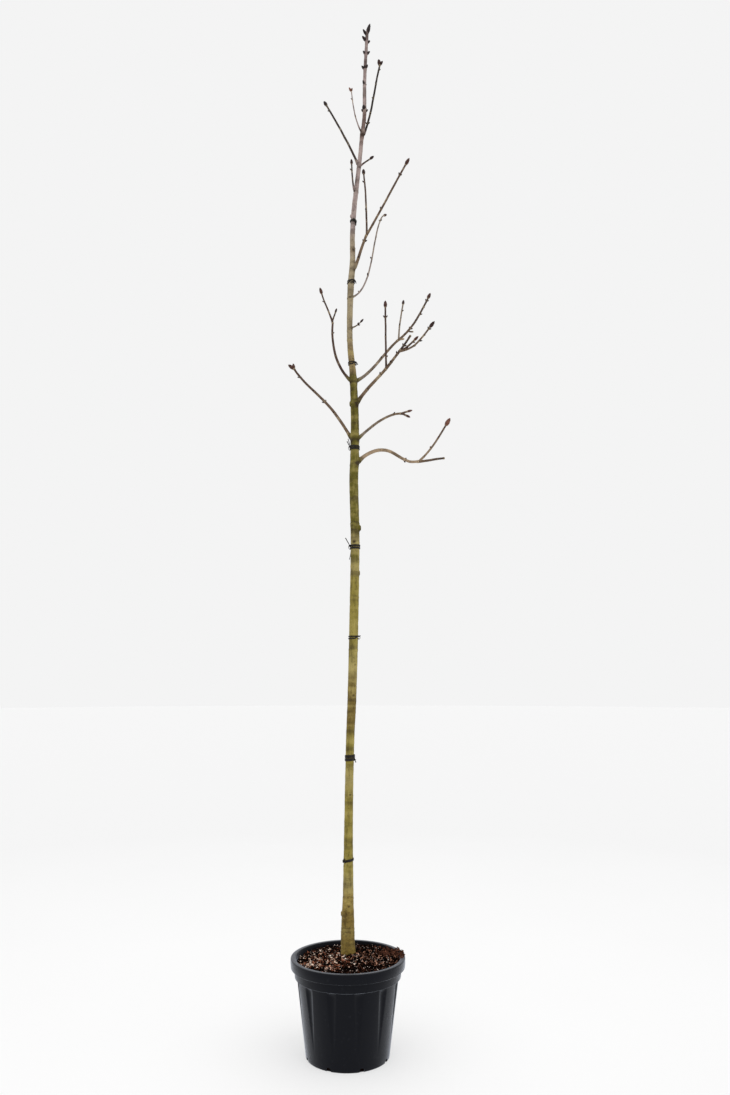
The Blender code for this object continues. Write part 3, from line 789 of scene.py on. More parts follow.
Bough = namedtuple("Bough", "name height heading slope root tip arcs bud")
BOUGHS = (
    Bough("bough_01_lowest_right", 2.132, 25, 48, 0.0155, 0.0105,
          ((0.116, 0.058, 0), (0.102, -0.034, -12), (0.045, 0.003, 8)), 0.0),
    Bough("bough_02_curved_right", 2.223, -20, 38, 0.0110, 0.0085,
          ((0.172, 0.080, -5),), 0.0),
    Bough("bough_03_low_left", 2.227, 160, 60, 0.0125, 0.0085,
          ((0.134, 0.182, 45), (0.114, 0.130, 58)), 1.0),
    Bough("bough_04_main_right", 2.369, -25, 55, 0.0140, 0.0110,
          ((0.120, 0.116, 45),), 0.0),
    Bough("bough_05_upper_right", 2.459, 20, 32, 0.0125, 0.0095,
          ((0.175, 0.190, 45),), 0.0),
    Bough("bough_06_forked_left", 2.459, 200, 38, 0.0110, 0.0080,
          ((0.073, 0.226, 95),), 0.0),
    Bough("bough_07_small_spur", 2.675, -30, 8, 0.0050, 0.0040,
          ((0.040, 0.016, 42),), 0.6),
    Bough("bough_08_slender_right", 2.810, 50, 30, 0.0070, 0.0055,
          ((0.118, 0.190, 75), (0.062, 0.216, 66), (0.026, 0.034, 32)), 0.8),
    Bough("bough_09_long_right", 2.929, -30, 58, 0.0130, 0.0100,
          ((0.054, 0.122, 60),), 0.0),
    Bough("bough_10_short_left", 3.264, 205, 78, 0.0070, 0.0060,
          ((0.011, 0.111, 87),), 0.8),
    Bough("bough_11_short_right", 3.366, -50, 12, 0.0065, 0.0060,
          ((0.064, 0.002, 5),), 0.8),
    Bough("bough_12_long_left", 3.383, 150, 68, 0.0095, 0.0075,
          ((0.154, 0.317, 62),), 1.0),
    Bough("bough_13_top_left", 3.524, 215, 52, 0.0055, 0.0045,
          ((0.048, 0.159, 80),), 0.6),
    Bough("bough_14_top_right", 3.516, 30, 70, 0.0090, 0.0075,
          ((0.077, 0.343, 77),), 1.0),
)


def ease(share, start, end, start_pull, end_pull):
    """Cubic from start to end, with a pull at each end: numbers or vectors."""
    square = share * share
    cube = square * share
    return (
        start * (2 * cube - 3 * square + 1)
        + start_pull * (cube - 2 * square + share)
        + end * (3 * square - 2 * cube)
        + end_pull * (cube - square)
    )


def course_slope(low, high, column):
    return (high[column] - low[column]) / (high[0] - low[0])


def trunk_at(height):
    """Middle and thickness of the trunk at a height, on a smooth course."""
    rows = TRUNK_COURSE
    last = len(rows) - 2
    index = max(i for i in range(last + 1) if i == 0 or rows[i][0] <= height)
    before = rows[max(index - 1, 0)]
    start = rows[index]
    end = rows[index + 1]
    after = rows[min(index + 2, last + 1)]
    span = end[0] - start[0]
    share = (height - start[0]) / span
    lean, thickness = (
        ease(share, start[k], end[k],
             span * course_slope(before, end, k), span * course_slope(start, after, k))
        for k in (1, 2)
    )
    wander = TRUNK_WANDER * sin(2 * pi * (height - TRUNK_FOOT) / TRUNK_WANDER_LENGTH)
    return Vector((lean, TRUNK_SET_BACK + wander, height)), thickness


def hump(distance, width):
    """A smooth hump, 1 in the middle and almost 0 a width away."""
    return exp(-3 * (distance / width) ** 2)


def around(heading, other, radius):
    """Distance round a stem between two headings, in metres."""
    turn = (heading - radians(other) + pi) % (2 * pi) - pi
    return turn * radius


def near(marks_on_bark, height, reach):
    return [mark for mark in marks_on_bark if abs(height - mark.height) < reach]


def bark_form(height, heading, radius):
    """How proud the bark stands, and how dark and how pale it is, at a place; the darkness holds
    painted shade under knobs and boughs.
    """
    place = Vector((cos(heading) * radius, sin(heading) * radius, height))
    low_down = max(0.0, min(1.0, (0.60 - height) / 0.12))
    proud = noise.noise(place * 55) * 0.0006 + noise.noise(place * 160) * 0.00022
    streaks = noise.noise(Vector((place.x * 260, place.y * 260, height * 22)))
    proud += streaks * (0.00022 + 0.0004 * low_down)
    proud += 0.0035 * exp(-(height - TRUNK_FOOT) / 0.022) * cos(3 * heading + 0.6)
    dark = 0.0
    pale = 0.0
    for ring in near(RINGS, height, 0.02):
        turn = Vector((cos(heading), sin(heading), ring.height * 9))
        wavy = height - ring.height - 0.003 * noise.noise(turn * 1.6)
        broken = min(1.0, max(0.1, 0.6 + 1.6 * noise.noise(turn * 2.3)))
        proud += ring.proud * hump(wavy, 0.0065) - 0.5 * ring.proud * hump(wavy - 0.0045, 0.0035)
        dark += ring.dark * broken * hump(wavy - 0.0040, 0.0050)
        pale += 0.5 * ring.dark * hump(wavy + 0.006, 0.008)
    for knob in near(KNOBS, height, 0.04):
        aside = around(heading, knob.heading, radius)
        away = hypot(height - knob.height, aside)
        if away < knob.width:
            proud += knob.proud * (1 - (away / knob.width) ** 2.6)
        proud -= 0.35 * knob.proud * hump(away, knob.width * 0.42)
        dark += 0.9 * hump(away, knob.width * 0.45)
        # painted shadow: the bark just under each knob is darkened
        dark += 0.8 * hump(hypot((height - knob.height + knob.width) * 2.2, aside), knob.width)
    for scar in near(SCARS, height, 0.03):
        away = hypot((height - scar.height) * 1.15, around(heading, scar.heading, radius))
        proud += 0.0009 * hump(away - scar.radius, scar.radius * 0.6)
        proud -= 0.0009 * hump(away, scar.radius * 0.8)
        dark += hump(away, scar.radius)
        pale += 0.5 * hump(away - scar.radius * 1.6, scar.radius)
    # dark patches, which are painted shade where they sit just under a limb
    for dark_patch in near(STAINS_AND_SHADE, height, 0.04):
        away = hypot(height - dark_patch.height, around(heading, dark_patch.heading, radius))
        dark += dark_patch.dark * hump(away, dark_patch.reach)
    for bough in near(BOUGHS, height, 0.05):
        aside = around(heading, bough.heading, radius)
        away = hypot((height - bough.height) / 1.4, aside)
        proud += 0.30 * bough.root * hump(away, 1.4 * bough.root)
        # painted shade: the bark just under each bough is darkened
        shade_below = hypot(height - bough.height + 0.9 * bough.root, aside * 0.6)
        dark += hump(shade_below, 1.15 * bough.root)
        belt = height - bough.height + 0.4 * abs(aside)
        proud += 0.0006 * hump(belt, 0.006)
        dark += 0.34 * hump(belt - 0.002, 0.010)
    return proud, min(1.0, dark), min(1.0, pale)


def add_values(mesh, name, values):
    """Keeps a number for each point, for a material to read."""
    mesh.attributes.new(name, "FLOAT", "POINT").data.foreach_set("value", values)


def build_trunk():
    foot = TRUNK_FOOT - TRUNK_SUNK
    count = ceil((TRUNK_TOP - foot) / TRUNK_STEP)
    rings = []
    darkness = [0.0]
    paleness = [0.0]
    for row in range(count + 5):
        height = foot + (TRUNK_TOP - foot) * min(row, count) / count
        middle, thickness = trunk_at(height)
        close = max(0, row - count) / 5
        top = UP * (thickness / 2 * sin(close * pi / 2))
        ring = []
        for heading in headings(TRUNK_SIDES):
            proud, dark, pale = bark_form(height, heading, thickness / 2)
            reach = (thickness / 2 + proud) * cos(close * pi / 2)
            ring.append(middle + top + outward(heading) * reach)
            darkness.append(dark)
            paleness.append(pale)
        rings.append(ring)
    middle, thickness = trunk_at(TRUNK_TOP)
    mesh = skin("trunk", rings, trunk_at(foot)[0], middle + UP * (thickness / 2))
    add_values(mesh, "dark", darkness + [0.0])
    add_values(mesh, "pale", paleness + [0.0])
    return mesh


def bark_at(height):
    """The bark's own colour at a height, between the stops of its course."""
    for (low, first), (high, second) in zip(BARK_COURSE, BARK_COURSE[1:]):
        if height <= high:
            return Vector(tint(first)).lerp(Vector(tint(second)), (height - low) / (high - low))
    return Vector(tint(BARK_COURSE[-1][1]))


def own_value(tree, name, output="Fac"):
    return put(tree, "ShaderNodeAttribute", attribute_name=name).outputs[output]


def marked(tree, colour, rows):
    """A colour under marks: each row is a mask, where it starts and is full, its share, a colour."""
    for mask, start, full, share, other in rows:
        colour = mixed(tree, ranged(tree, mask, start, full, 0.0, share), colour, other)
    return colour


def ramp_of(tree, value, course, low, high):
    """Colours along a course of (height, chip) rows, from a value between 0 and 1."""
    made = put(tree, "ShaderNodeValToRGB", {0: value})
    stops = made.color_ramp.elements
    while len(stops) < len(course):
        stops.new(0.5)
    for stop, (height, chip) in zip(stops, course):
        stop.position = (height - low) / (high - low)
        stop.color = tint(chip)
    return made.outputs["Color"]


def make_trunk_bark():
    """Young bark, coloured by height, mottled, streaked along the stem, dark in cracks and in
    painted shade under knobs and boughs.
    """
    material, tree, place, seen = new_material("trunk_bark", 11.0, 150.0, 1100.0)
    long_way = new(tree, "ShaderNodeMapping", {"Vector": place, "Scale": (1, 1, 0.22)})
    streaks = marks(tree, long_way, 70.0, 420.0, 900.0)
    across = new(tree, "ShaderNodeMapping", {"Vector": place, "Scale": (0.4, 0.4, 1.5)})
    dashes = marks(tree, across, 20.0, 260.0, 900.0)
    height = up_part(tree, place)
    low_down = ranged(tree, height, 0.56, 0.46)
    foot_cracks = sum_of(tree, ranged(tree, dashes["Specks"], 0.50, 0.64), low_down, "MULTIPLY")
    drift = ranged(tree, seen["Patches"], 0.2, 0.8, -0.02, 0.02)
    low, high = BARK_COURSE[0][0], BARK_COURSE[-1][0]
    level = ranged(tree, sum_of(tree, height, drift), low, high)
    colour = ramp_of(tree, level, BARK_COURSE, low, high)
    risen = ranged(tree, height, ROSE_FROM, ROSE_PAST)
    worn = mixed(tree, risen, tint(WORN_PALE), tint(WORN_ROSE))
    crack_and_shade = tint(CRACK_AND_SHADE_BROWN)
    colour = marked(tree, colour, (
        (streaks["Patches"], 0.52, 0.70, 0.48, crack_and_shade),
        (streaks["Patches"], 0.46, 0.28, 0.34, worn),
        (dashes["Patches"], 0.52, 0.66, 0.50, crack_and_shade),
        (dashes["Patches"], 0.48, 0.34, 0.34, worn),
        (dashes["Specks"], 0.62, 0.72, 0.35, crack_and_shade),
        (seen["Specks"], 0.61, 0.68, 0.40, crack_and_shade),
        (streaks["Specks"], 0.60, 0.74, 0.30, worn),
        (foot_cracks, 0.0, 1.0, 0.42, crack_and_shade),
        (own_value(tree, "pale"), 0.0, 1.0, 0.50, worn),
        # dark marks made with the trunk: scars, rings and stains, and painted shade under knobs and
        # boughs
        (own_value(tree, "dark"), 0.0, 1.0, 0.90, crack_and_shade),
    ))
    gloss = ranged(tree, streaks["Patches"], 0.3, 0.7, 0.55, 0.80)
    relief = sum_of(tree, sum_of(tree, streaks["Grain"], seen["Specks"]), dashes["Specks"])
    dress(tree, colour, gloss, 0.20, relief, 0.0009)
    return material


def make_lenticel_scatter():
    """Strews one small shape over a stem, each lying on the bark and across the stem."""
    tree, given = new_growth("lenticels", Shape="Object", Spread="Float", Lowest="Float",
                             Seed="Int", Bark="Material")
    height = up_part(tree, new(tree, "GeometryNodeInputPosition"))
    above = compared(tree, height, "GREATER_THAN", given["Lowest"])
    points = points_on(tree, given, above, given["Spread"])
    across = vector_of(tree, "CROSS_PRODUCT", (0, 0, 1), points["Normal"])
    lying = new(tree, "FunctionNodeAxesToRotation",
                {"Primary Axis": points["Normal"], "Secondary Axis": across},
                primary_axis="Z", secondary_axis="X")
    size = random_value(tree, "FLOAT_VECTOR", (0.5, 0.6, 0.6), (1.5, 1.2, 1.2), given["Seed"])
    shape = put(tree, "GeometryNodeObjectInfo", {"Object": given["Shape"]}).outputs["Geometry"]
    set_out(tree, points["Points"], shape, lying, size, given["Bark"])
    return tree


def lens_shape(name, length, width, proud):
    """A low lens: a rim sunk into the bark, a ring on its shoulder and a closed top."""
    rim = [(cos(t) * length / 2, sin(t) * width / 2, -proud) for t in headings(8)]
    shoulder = [(x * 0.66, y * 0.66, proud * 0.7) for x, y, _ in rim]
    mesh = skin(name, [rim, shoulder], (0, 0, -proud * 1.5), (0, 0, proud))
    return bpy.data.objects.new(name, mesh)


def make_lenticel_cork():
    """Corky pores, a little paler or browner than the bark round them."""
    material, tree, _, seen = new_material("lenticel_cork", 22.0, 200.0, 1500.0)
    tone = ranged(tree, seen["Patches"], 0.35, 0.65)
    colour = mixed(tree, tone, tint(CORK_BROWN), tint(CORK_PALE))
    gloss = ranged(tree, seen["Grain"], 0.3, 0.7, 0.75, 0.95)
    dress(tree, colour, gloss, 0.5, seen["Grain"], 0.0004)
    return material


TRUNK = build_trunk()
LENS = lens_shape("lens", 0.0030, 0.0012, 0.00035)
CORK = make_lenticel_cork()
LENTICELS = grow("trunk_lenticels", TRUNK, make_lenticel_scatter(), Shape=LENS,
                 Spread=LENTICEL_SPREAD, Lowest=TRUNK_FOOT + 0.02, Seed=4, Bark=CORK)
bpy.data.objects.remove(LENS, do_unlink=True)
add_piece("trunk_stem", TRUNK, make_trunk_bark(), ["trunk"])
add_piece("trunk_lenticels", LENTICELS, CORK)


# ---- Boughs and twigs ---------------------------------------------------------------
# Each bough leaves the trunk above an old leaf, in opposite pairs where both sides grew,
# and is one tapering limb in a few arcs.  It swells at each joint, is ringed where a
# winter stopped it, and forks from a knuckle into the last years' twigs.
Twig = namedtuple("Twig", "leaves at heading slope root tip arcs bud")
TWIG_MASSES = {
    "bough_01_lowest_right": (
        Twig(None, 0, 25, 8, 0.0105, 0.0085, ((0.121, 0.027, 10),), 0.0),
        Twig(0, 0.03, 10, 42, 0.0090, 0.0075, ((0.116, 0.158, 60),), 1.3),
    ),
    "bough_02_curved_right": (
        Twig(None, 0, -20, -5, 0.0080, 0.0070, ((0.022, -0.010, -25),), 0.7),
        Twig(0, 0.10, -20, 20, 0.0075, 0.0065, ((0.026, 0.006, 10),), 0.7),
    ),
    "bough_04_main_right": (
        Twig(None, 0, -25, 45, 0.0110, 0.0095, ((0.062, 0.067, 50),), 0.0),
        Twig(0, 0.03, 100, 86, 0.0080, 0.0070, ((0.012, 0.258, 88),), 1.0),
        Twig(0, 0.98, 10, 52, 0.0085, 0.0080, ((0.041, 0.062, 58),), 0.0),
        Twig(0, 0.95, -20, 12, 0.0080, 0.0070, ((0.060, 0.036, 40),), 0.8),
        Twig(0, 0.92, -42, -2, 0.0080, 0.0065, ((0.080, 0.008, 25), (0.072, 0.050, 38)), 1.0),
    ),
    "bough_05_upper_right": (
        Twig(None, 0, 20, 40, 0.0095, 0.0075, ((0.138, 0.204, 64),), 1.0),
        Twig(0, 0.03, 60, 88, 0.0070, 0.0060, ((0.040, 0.168, 74),), 0.8),
        Twig(0, 0.03, 0, 5, 0.0065, 0.0060, ((0.020, 0.004, 15),), 0.0),
        Twig(0, 0.27, 0, -15, 0.0060, 0.0055, ((0.020, -0.003, 5),), 0.0),
    ),
    "bough_06_forked_left": (
        Twig(None, 0, 210, 72, 0.0075, 0.0060, ((0.050, 0.112, 72),), 0.9),
        Twig(0, 0.05, -40, 65, 0.0065, 0.0055, ((0.017, 0.034, 65),), 0.6),
    ),
    "bough_09_long_right": (
        Twig(None, 0, -30, 52, 0.0095, 0.0075, ((0.180, 0.252, 54),), 1.0),
        Twig(0, 0.01, 106, 88, 0.0080, 0.0065, ((0.044, 0.290, 72),), 1.0),
    ),
}
TAN = (158, 136, 111)
BROWN = (110, 90, 71)
EARTH = (80, 61, 51)
DARK_EARTH = (57, 44, 39)
BLACK_EARTH = (36, 27, 24)
STONE = (134, 121, 106)
ROSE_STONE = (156, 141, 136)
Look = namedtuple("Look", "root tip spacing ends warmth")
LOOKS = {                   # of each bough, and then of its twigs in turn
    "bough_01_lowest_right": (
        Look(TAN, TAN, 0.110, 1, 0.2), Look(BROWN, DARK_EARTH, 0.060, 1, 0.2),
        Look(TAN, EARTH, 0.045, 1, 0.9)),
    "bough_02_curved_right": (
        Look(STONE, BROWN, 0.080, 1, 0.3), Look(EARTH, EARTH, 0.05, 1, 0.3),
        Look(BROWN, EARTH, 0.05, 1, 0.5)),
    "bough_03_low_left": (Look(BROWN, EARTH, 0.080, 2, 0.3),),
    "bough_04_main_right": (
        Look(BROWN, BROWN, 0.075, 1, 0.2), Look(BROWN, EARTH, 0.040, 1, 0.2),
        Look(EARTH, EARTH, 0.080, 1, 0.3), Look(DARK_EARTH, DARK_EARTH, 0.020, 1, 0.1),
        Look(EARTH, EARTH, 0.022, 1, 0.4), Look(BROWN, EARTH, 0.028, 1, 0.1)),
    "bough_05_upper_right": (
        Look(STONE, BROWN, 0.090, 1, 0.2), Look(BROWN, DARK_EARTH, 0.036, 1, 0.3),
        Look(STONE, STONE, 0.080, 1, 0.1), Look(TAN, TAN, 0.05, 1, 0.2),
        Look(EARTH, DARK_EARTH, 0.05, 1, 0.2)),
    "bough_06_forked_left": (
        Look(EARTH, EARTH, 0.085, 1, 0.1), Look(EARTH, EARTH, 0.085, 1, 0.3),
        Look(EARTH, DARK_EARTH, 0.050, 1, 0.1)),
    "bough_07_small_spur": (Look(EARTH, DARK_EARTH, 0.030, 1, 0.1),),
    "bough_08_slender_right": (Look(ROSE_STONE, STONE, 0.105, 1, 0.2),),
    "bough_09_long_right": (
        Look(BROWN, BROWN, 0.060, 1, 0.1), Look(BROWN, EARTH, 0.085, 1, 0.3),
        Look(EARTH, EARTH, 0.120, 1, 0.1)),
    "bough_10_short_left": (Look(DARK_EARTH, BLACK_EARTH, 0.060, 1, 0.1),),
    "bough_11_short_right": (Look(EARTH, DARK_EARTH, 0.040, 1, 0.1),),
    "bough_12_long_left": (Look(DARK_EARTH, BLACK_EARTH, 0.075, 1, 0.0),),
    "bough_13_top_left": (Look(ROSE_STONE, ROSE_STONE, 0.070, 2, 0.9),),
    "bough_14_top_right": (Look(BLACK_EARTH, BLACK_EARTH, 0.065, 2, 0.1),),
}
ROOT_SWELL = 1.35
ROOT_SWELL_LENGTH = 0.030
LIMB_GAP = 0.0003
TWIG_SUNK = 0.004           # a twig starts this far inside what it leaves
BOUGH_SUNK = 0.9            # and a bough, this share of the trunk's radius
SUNK_BENDS = 3              # it levels out inside the trunk in so many bends
COLLAR_LENGTH = 0.024       # how far out the trunk's own colour runs
LIMB_STEP = 0.0025
LIMB_SIDES = 18
LIMB_RELIEF = 0.0006
LIMB_LUMPS = 170.0          # per metre
KNUCKLE_SWELL = 0.22
KNUCKLE_LENGTH = 0.007
JOINT_SWELL = 0.13
JOINT_LENGTH = 0.0040
WAVER = 0.0008

END_BUD_GROWN = 1.10
TWIN_SIZES = (1.10, 0.80)
TWIN_LEAN = 0.34
SIDE_BUD = 0.40             # size of a side bud
SIDEWAYS = Vector((0.2, 1, 0))
Joint = namedtuple("Joint", "place way size warmth plump", defaults=[1.0])
END_BUDS = []
SIDE_BUDS = []
LEAF_SCARS = []


def pointing(heading, slope_angle):
    level = cos(radians(slope_angle))
    turn = radians(heading)
    return Vector((level * cos(turn), level * sin(turn), sin(radians(slope_angle))))


def arc_path(start, heading, slope_angle, arcs):
    """Points along a chain of arcs in one upright plane, a step apart."""
    path = [start]
    for reach, rise, end_slope in arcs:
        first = path[-1]
        last = first + pointing(heading, 0) * reach + Vector((0, 0, rise))
        chord = (last - first).length
        start_pull = pointing(heading, slope_angle) * chord
        end_pull = pointing(heading, end_slope) * chord
        steps = max(6, ceil(chord / LIMB_STEP))
        for step in range(1, steps + 1):
            path.append(ease(step / steps, first, last, start_pull, end_pull))
        slope_angle = end_slope
    return path


def lengths_of(path):
    lengths = [0.0]
    for here, there in zip(path, path[1:]):
        lengths.append(lengths[-1] + (there - here).length)
    return lengths


def along(path, share):
    """The point at a share of a path's length."""
    lengths = lengths_of(path)
    target = share * lengths[-1]
    for index in range(1, len(path)):
        if lengths[index] >= target:
            span = lengths[index] - lengths[index - 1]
            return path[index - 1].lerp(path[index], (target - lengths[index - 1]) / span)
    return path[-1]


def joints_of(total, spacing, draw):
    """Lengths at which a limb has its pairs of leaf scars."""
    joints = []
    here = total - spacing * draw.uniform(0.35, 0.6)
    while here > 0.35 * spacing + 0.012:
        joints.append(here)
        here -= spacing * draw.uniform(0.8, 1.2)
    return joints


def sway(place):
    """A smooth vector that changes from place to place, and is the same each run."""
    return Vector([noise.noise(place + Vector((31.7, -12.3, 5.9)) * part) for part in range(3)])


Spot = namedtuple("Spot", "place radius dark pale tone")


class Limb:
    """A limb's spots along its course, its joints, and the buds that sit on it."""

    def __init__(self, path, root, tip, swell, look, draw, collar=None):
        self.look = look
        self.lengths = lengths_of(path)
        total = self.lengths[-1]
        self.joints = joints_of(total, look.spacing, draw)
        self.spots = []
        for place, length in zip(path, self.lengths):
            fade = min(1.0, length / 0.02, (total - length) / 0.02)
            bend = sway(place * 22) * WAVER * max(0.0, fade)
            radius = (root + (tip - root) * length / total) / 2
            radius *= 1 + swell * max(0.0, 1 - length / ROOT_SWELL_LENGTH)
            knuckle = hump(total - length, KNUCKLE_LENGTH)
            joint = sum(hump(length - at, JOINT_LENGTH) for at in self.joints)
            groove = sum(hump(length - at - 0.0035, 0.0026) for at in self.joints)
            radius *= 1 + KNUCKLE_SWELL * knuckle + JOINT_SWELL * joint - 0.05 * groove
            tone = Vector(tint(look.root)).lerp(Vector(tint(look.tip)), length / total)
            if collar:
                tone = collar.lerp(tone, min(1.0, length / COLLAR_LENGTH))
            # dark rings in the grooves behind the joints, and painted shade at the limb's root,
            # where it leaves the trunk or an earlier twig
            dark = min(1.0, groove + 0.6 * hump(length, 0.012))
            pale = min(1.0, 0.7 * knuckle + 0.3 * joint)
            self.spots.append(Spot(place + bend, radius, dark, pale, tone))

    def set_buds(self, size, draw):
        """Its end buds, and a pair of side buds and scars at each joint, each pair turned."""
        way = (self.spots[-1].place - self.spots[-3].place).normalized()
        side = way.cross(SIDEWAYS).normalized()
        tip = self.spots[-1].place
        size *= END_BUD_GROWN
        warmth = self.look.warmth
        if size and self.look.ends == 1:
            END_BUDS.append(Joint(tip - way * 0.001, way, size, warmth))
        elif size:
            for sign, share in zip((1, -1), TWIN_SIZES):
                place = tip + way * 0.002 + side * sign * 0.0012
                lean = (way + side * TWIN_LEAN * sign).normalized()
                END_BUDS.append(Joint(place, lean, share * size, warmth))
        for index, length in enumerate(self.joints):
            nearest = min(range(1, len(self.spots) - 1), key=lambda i: abs(self.lengths[i] - length))
            before, spot, after = self.spots[nearest - 1:nearest + 2]
            way = (after.place - before.place).normalized()
            side = way.cross(SIDEWAYS).normalized()
            turned = index % 2 * pi / 2 + draw.uniform(-0.3, 0.3)
            out = side * cos(turned) + way.cross(side) * sin(turned)
            for sign in (1, -1):
                wide = SIDE_BUD * draw.uniform(0.8, 1.15)
                scar = spot.place + out * sign * spot.radius * 0.86 - way * 0.0022
                LEAF_SCARS.append(Joint(scar, out * sign, wide, 0.0))
                if draw.random() < 0.6:
                    bud = spot.place + out * sign * spot.radius * 0.7
                    lean = (out * sign + way * 1.5).normalized()
                    SIDE_BUDS.append(Joint(bud, lean, wide, warmth * 0.5))

    def sink_root(self, way, depth):
        """Carries the limb's start back into what it leaves."""
        root = self.spots[0]
        self.spots.insert(0, root._replace(place=root.place - way * depth, pale=0.0))

    def round_end(self):
        """Closes the limb's tip with a dome, as spots of falling radius."""
        tip = self.spots[-1]
        way = (tip.place - self.spots[-2].place).normalized()
        for step in range(1, 6):
            turn = step / 5 * pi / 2
            place = tip.place + way * tip.radius * sin(turn) * 0.8
            radius = max(0.00025, tip.radius * cos(turn))
            self.spots.append(tip._replace(place=place, radius=radius))


def make_limb_skin():
    """Skins paths with round bark of each point's own radius, and gives it relief."""
    tree, given = new_growth("limb_bark", Sides="Int", Relief="Float", Lumps="Float",
                             Bark="Material")
    path = new(tree, "GeometryNodeMeshToCurve", {"Mesh": given["Geometry"]})
    radius = new(tree, "GeometryNodeInputNamedAttribute", {"Name": "radius_here"}, data_type="FLOAT")
    outline = new(tree, "GeometryNodeCurvePrimitiveCircle",
                  {"Resolution": given["Sides"], "Radius": 1.0})
    tube = new(tree, "GeometryNodeCurveToMesh", {
        "Curve": path, "Profile Curve": outline, "Scale": radius, "Fill Caps": True})
    lumps = noise_of(tree, new(tree, "GeometryNodeInputPosition"), given["Lumps"], 3.0)
    height = sum_of(tree, sum_of(tree, lumps, 0.5, "SUBTRACT"), given["Relief"], "MULTIPLY")
    out = new(tree, "GeometryNodeInputNormal")
    push = new(tree, "ShaderNodeVectorMath", {0: out, "Scale": height}, operation="SCALE")
    raised = new(tree, "GeometryNodeSetPosition", {"Geometry": tube, "Offset": push})
    end_growth(tree, raised, given["Bark"])
    return tree


LIMB_SKIN = make_limb_skin()


def skin_limbs(name, limbs, bark):
    """One mesh over several limbs, each a closed limb of its own."""
    spots = []
    edges = []
    for limb in limbs:
        first = len(spots)
        spots += limb.spots
        edges += [(i, i + 1) for i in range(first, len(spots) - 1)]
    lines = bpy.data.meshes.new(name)
    lines.from_pydata([spot.place for spot in spots], edges, [])
    add_values(lines, "radius_here", [spot.radius for spot in spots])
    add_values(lines, "dark", [spot.dark for spot in spots])
    add_values(lines, "pale", [spot.pale for spot in spots])
    tones = [part for spot in spots for part in spot.tone]
    lines.attributes.new("tone", "FLOAT_COLOR", "POINT").data.foreach_set("color", tones)
    return grow(name, lines, LIMB_SKIN, Sides=LIMB_SIDES, Relief=LIMB_RELIEF, Lumps=LIMB_LUMPS,
                Bark=bark)


SHOOT_SHADE = (40, 26, 22)
KNUCKLE_PALE = (206, 186, 150)


def make_shoot_bark():
    """Shoot bark in each shoot's own tone, with pale pores, dark rings and painted shade at each
    shoot's root.
    """
    material, tree, _, seen = new_material("shoot_bark", 38.0, 420.0, 1600.0)
    shade = tint(SHOOT_SHADE)
    light = tint(KNUCKLE_PALE)
    colour = marked(tree, own_value(tree, "tone", "Color"), (
        (seen["Patches"], 0.50, 0.68, 0.60, shade),
        (seen["Patches"], 0.42, 0.28, 0.45, light),
        (seen["Specks"], 0.66, 0.74, 0.45, light),
        (own_value(tree, "pale"), 0.0, 1.0, 0.60, light),
        (own_value(tree, "dark"), 0.0, 1.0, 0.85, shade),
    ))
    gloss = ranged(tree, seen["Patches"], 0.3, 0.7, 0.5, 0.75)
    dress(tree, colour, gloss, 0.20, sum_of(tree, seen["Specks"], seen["Grain"]), 0.0005)
    return material


def grow_twigs(bough, knuckle, way, draw):
    """The twigs of one mass, each from the bough's knuckle or from an earlier twig."""
    start = knuckle + way * LIMB_GAP
    paths = []
    twigs = []
    for twig, look in zip(TWIG_MASSES[bough.name], LOOKS[bough.name][1:]):
        if twig.leaves is not None:
            start = along(paths[twig.leaves], twig.at)
        path = arc_path(start, twig.heading, twig.slope, twig.arcs)
        paths.append(path)
        limb = Limb(path, twig.root, twig.tip, 0.15, look, draw)
        limb.set_buds(twig.bud, draw)
        limb.sink_root(way if twig.leaves is None else (path[1] - path[0]).normalized(), TWIG_SUNK)
        limb.round_end()
        twigs.append(limb)
    return twigs


def build_crown():
    bark = make_shoot_bark()
    twigs = []
    for index, bough in enumerate(BOUGHS):
        draw = Random(index)
        middle, trunk_width = trunk_at(bough.height)
        start = middle + pointing(bough.heading, 0) * trunk_width / 2
        path = arc_path(start, bough.heading, bough.slope, bough.arcs)
        limb = Limb(path, bough.root, bough.tip, ROOT_SWELL - 1, LOOKS[bough.name][0], draw,
                    bark_at(bough.height))
        limb.set_buds(bough.bud, draw)
        for bend in range(1, SUNK_BENDS + 1):
            inner_slope = bough.slope * (1 - bend / (SUNK_BENDS + 1))
            depth = BOUGH_SUNK * trunk_width / 2 / SUNK_BENDS
            limb.sink_root(pointing(bough.heading, inner_slope), depth)
        limb.round_end()
        name = bough.name.replace("bough", "limb")
        add_piece(name, skin_limbs(bough.name, [limb], bark), bark, [bough.name])
        if bough.name in TWIG_MASSES:
            way = (path[-1] - path[-2]).normalized()
            twigs += grow_twigs(bough, path[-1], way, draw)
    masses = [name.replace("bough", "twigs") for name in TWIG_MASSES]
    add_piece("crown_twigs", skin_limbs("crown_twigs", twigs, bark), bark, masses)


build_crown()


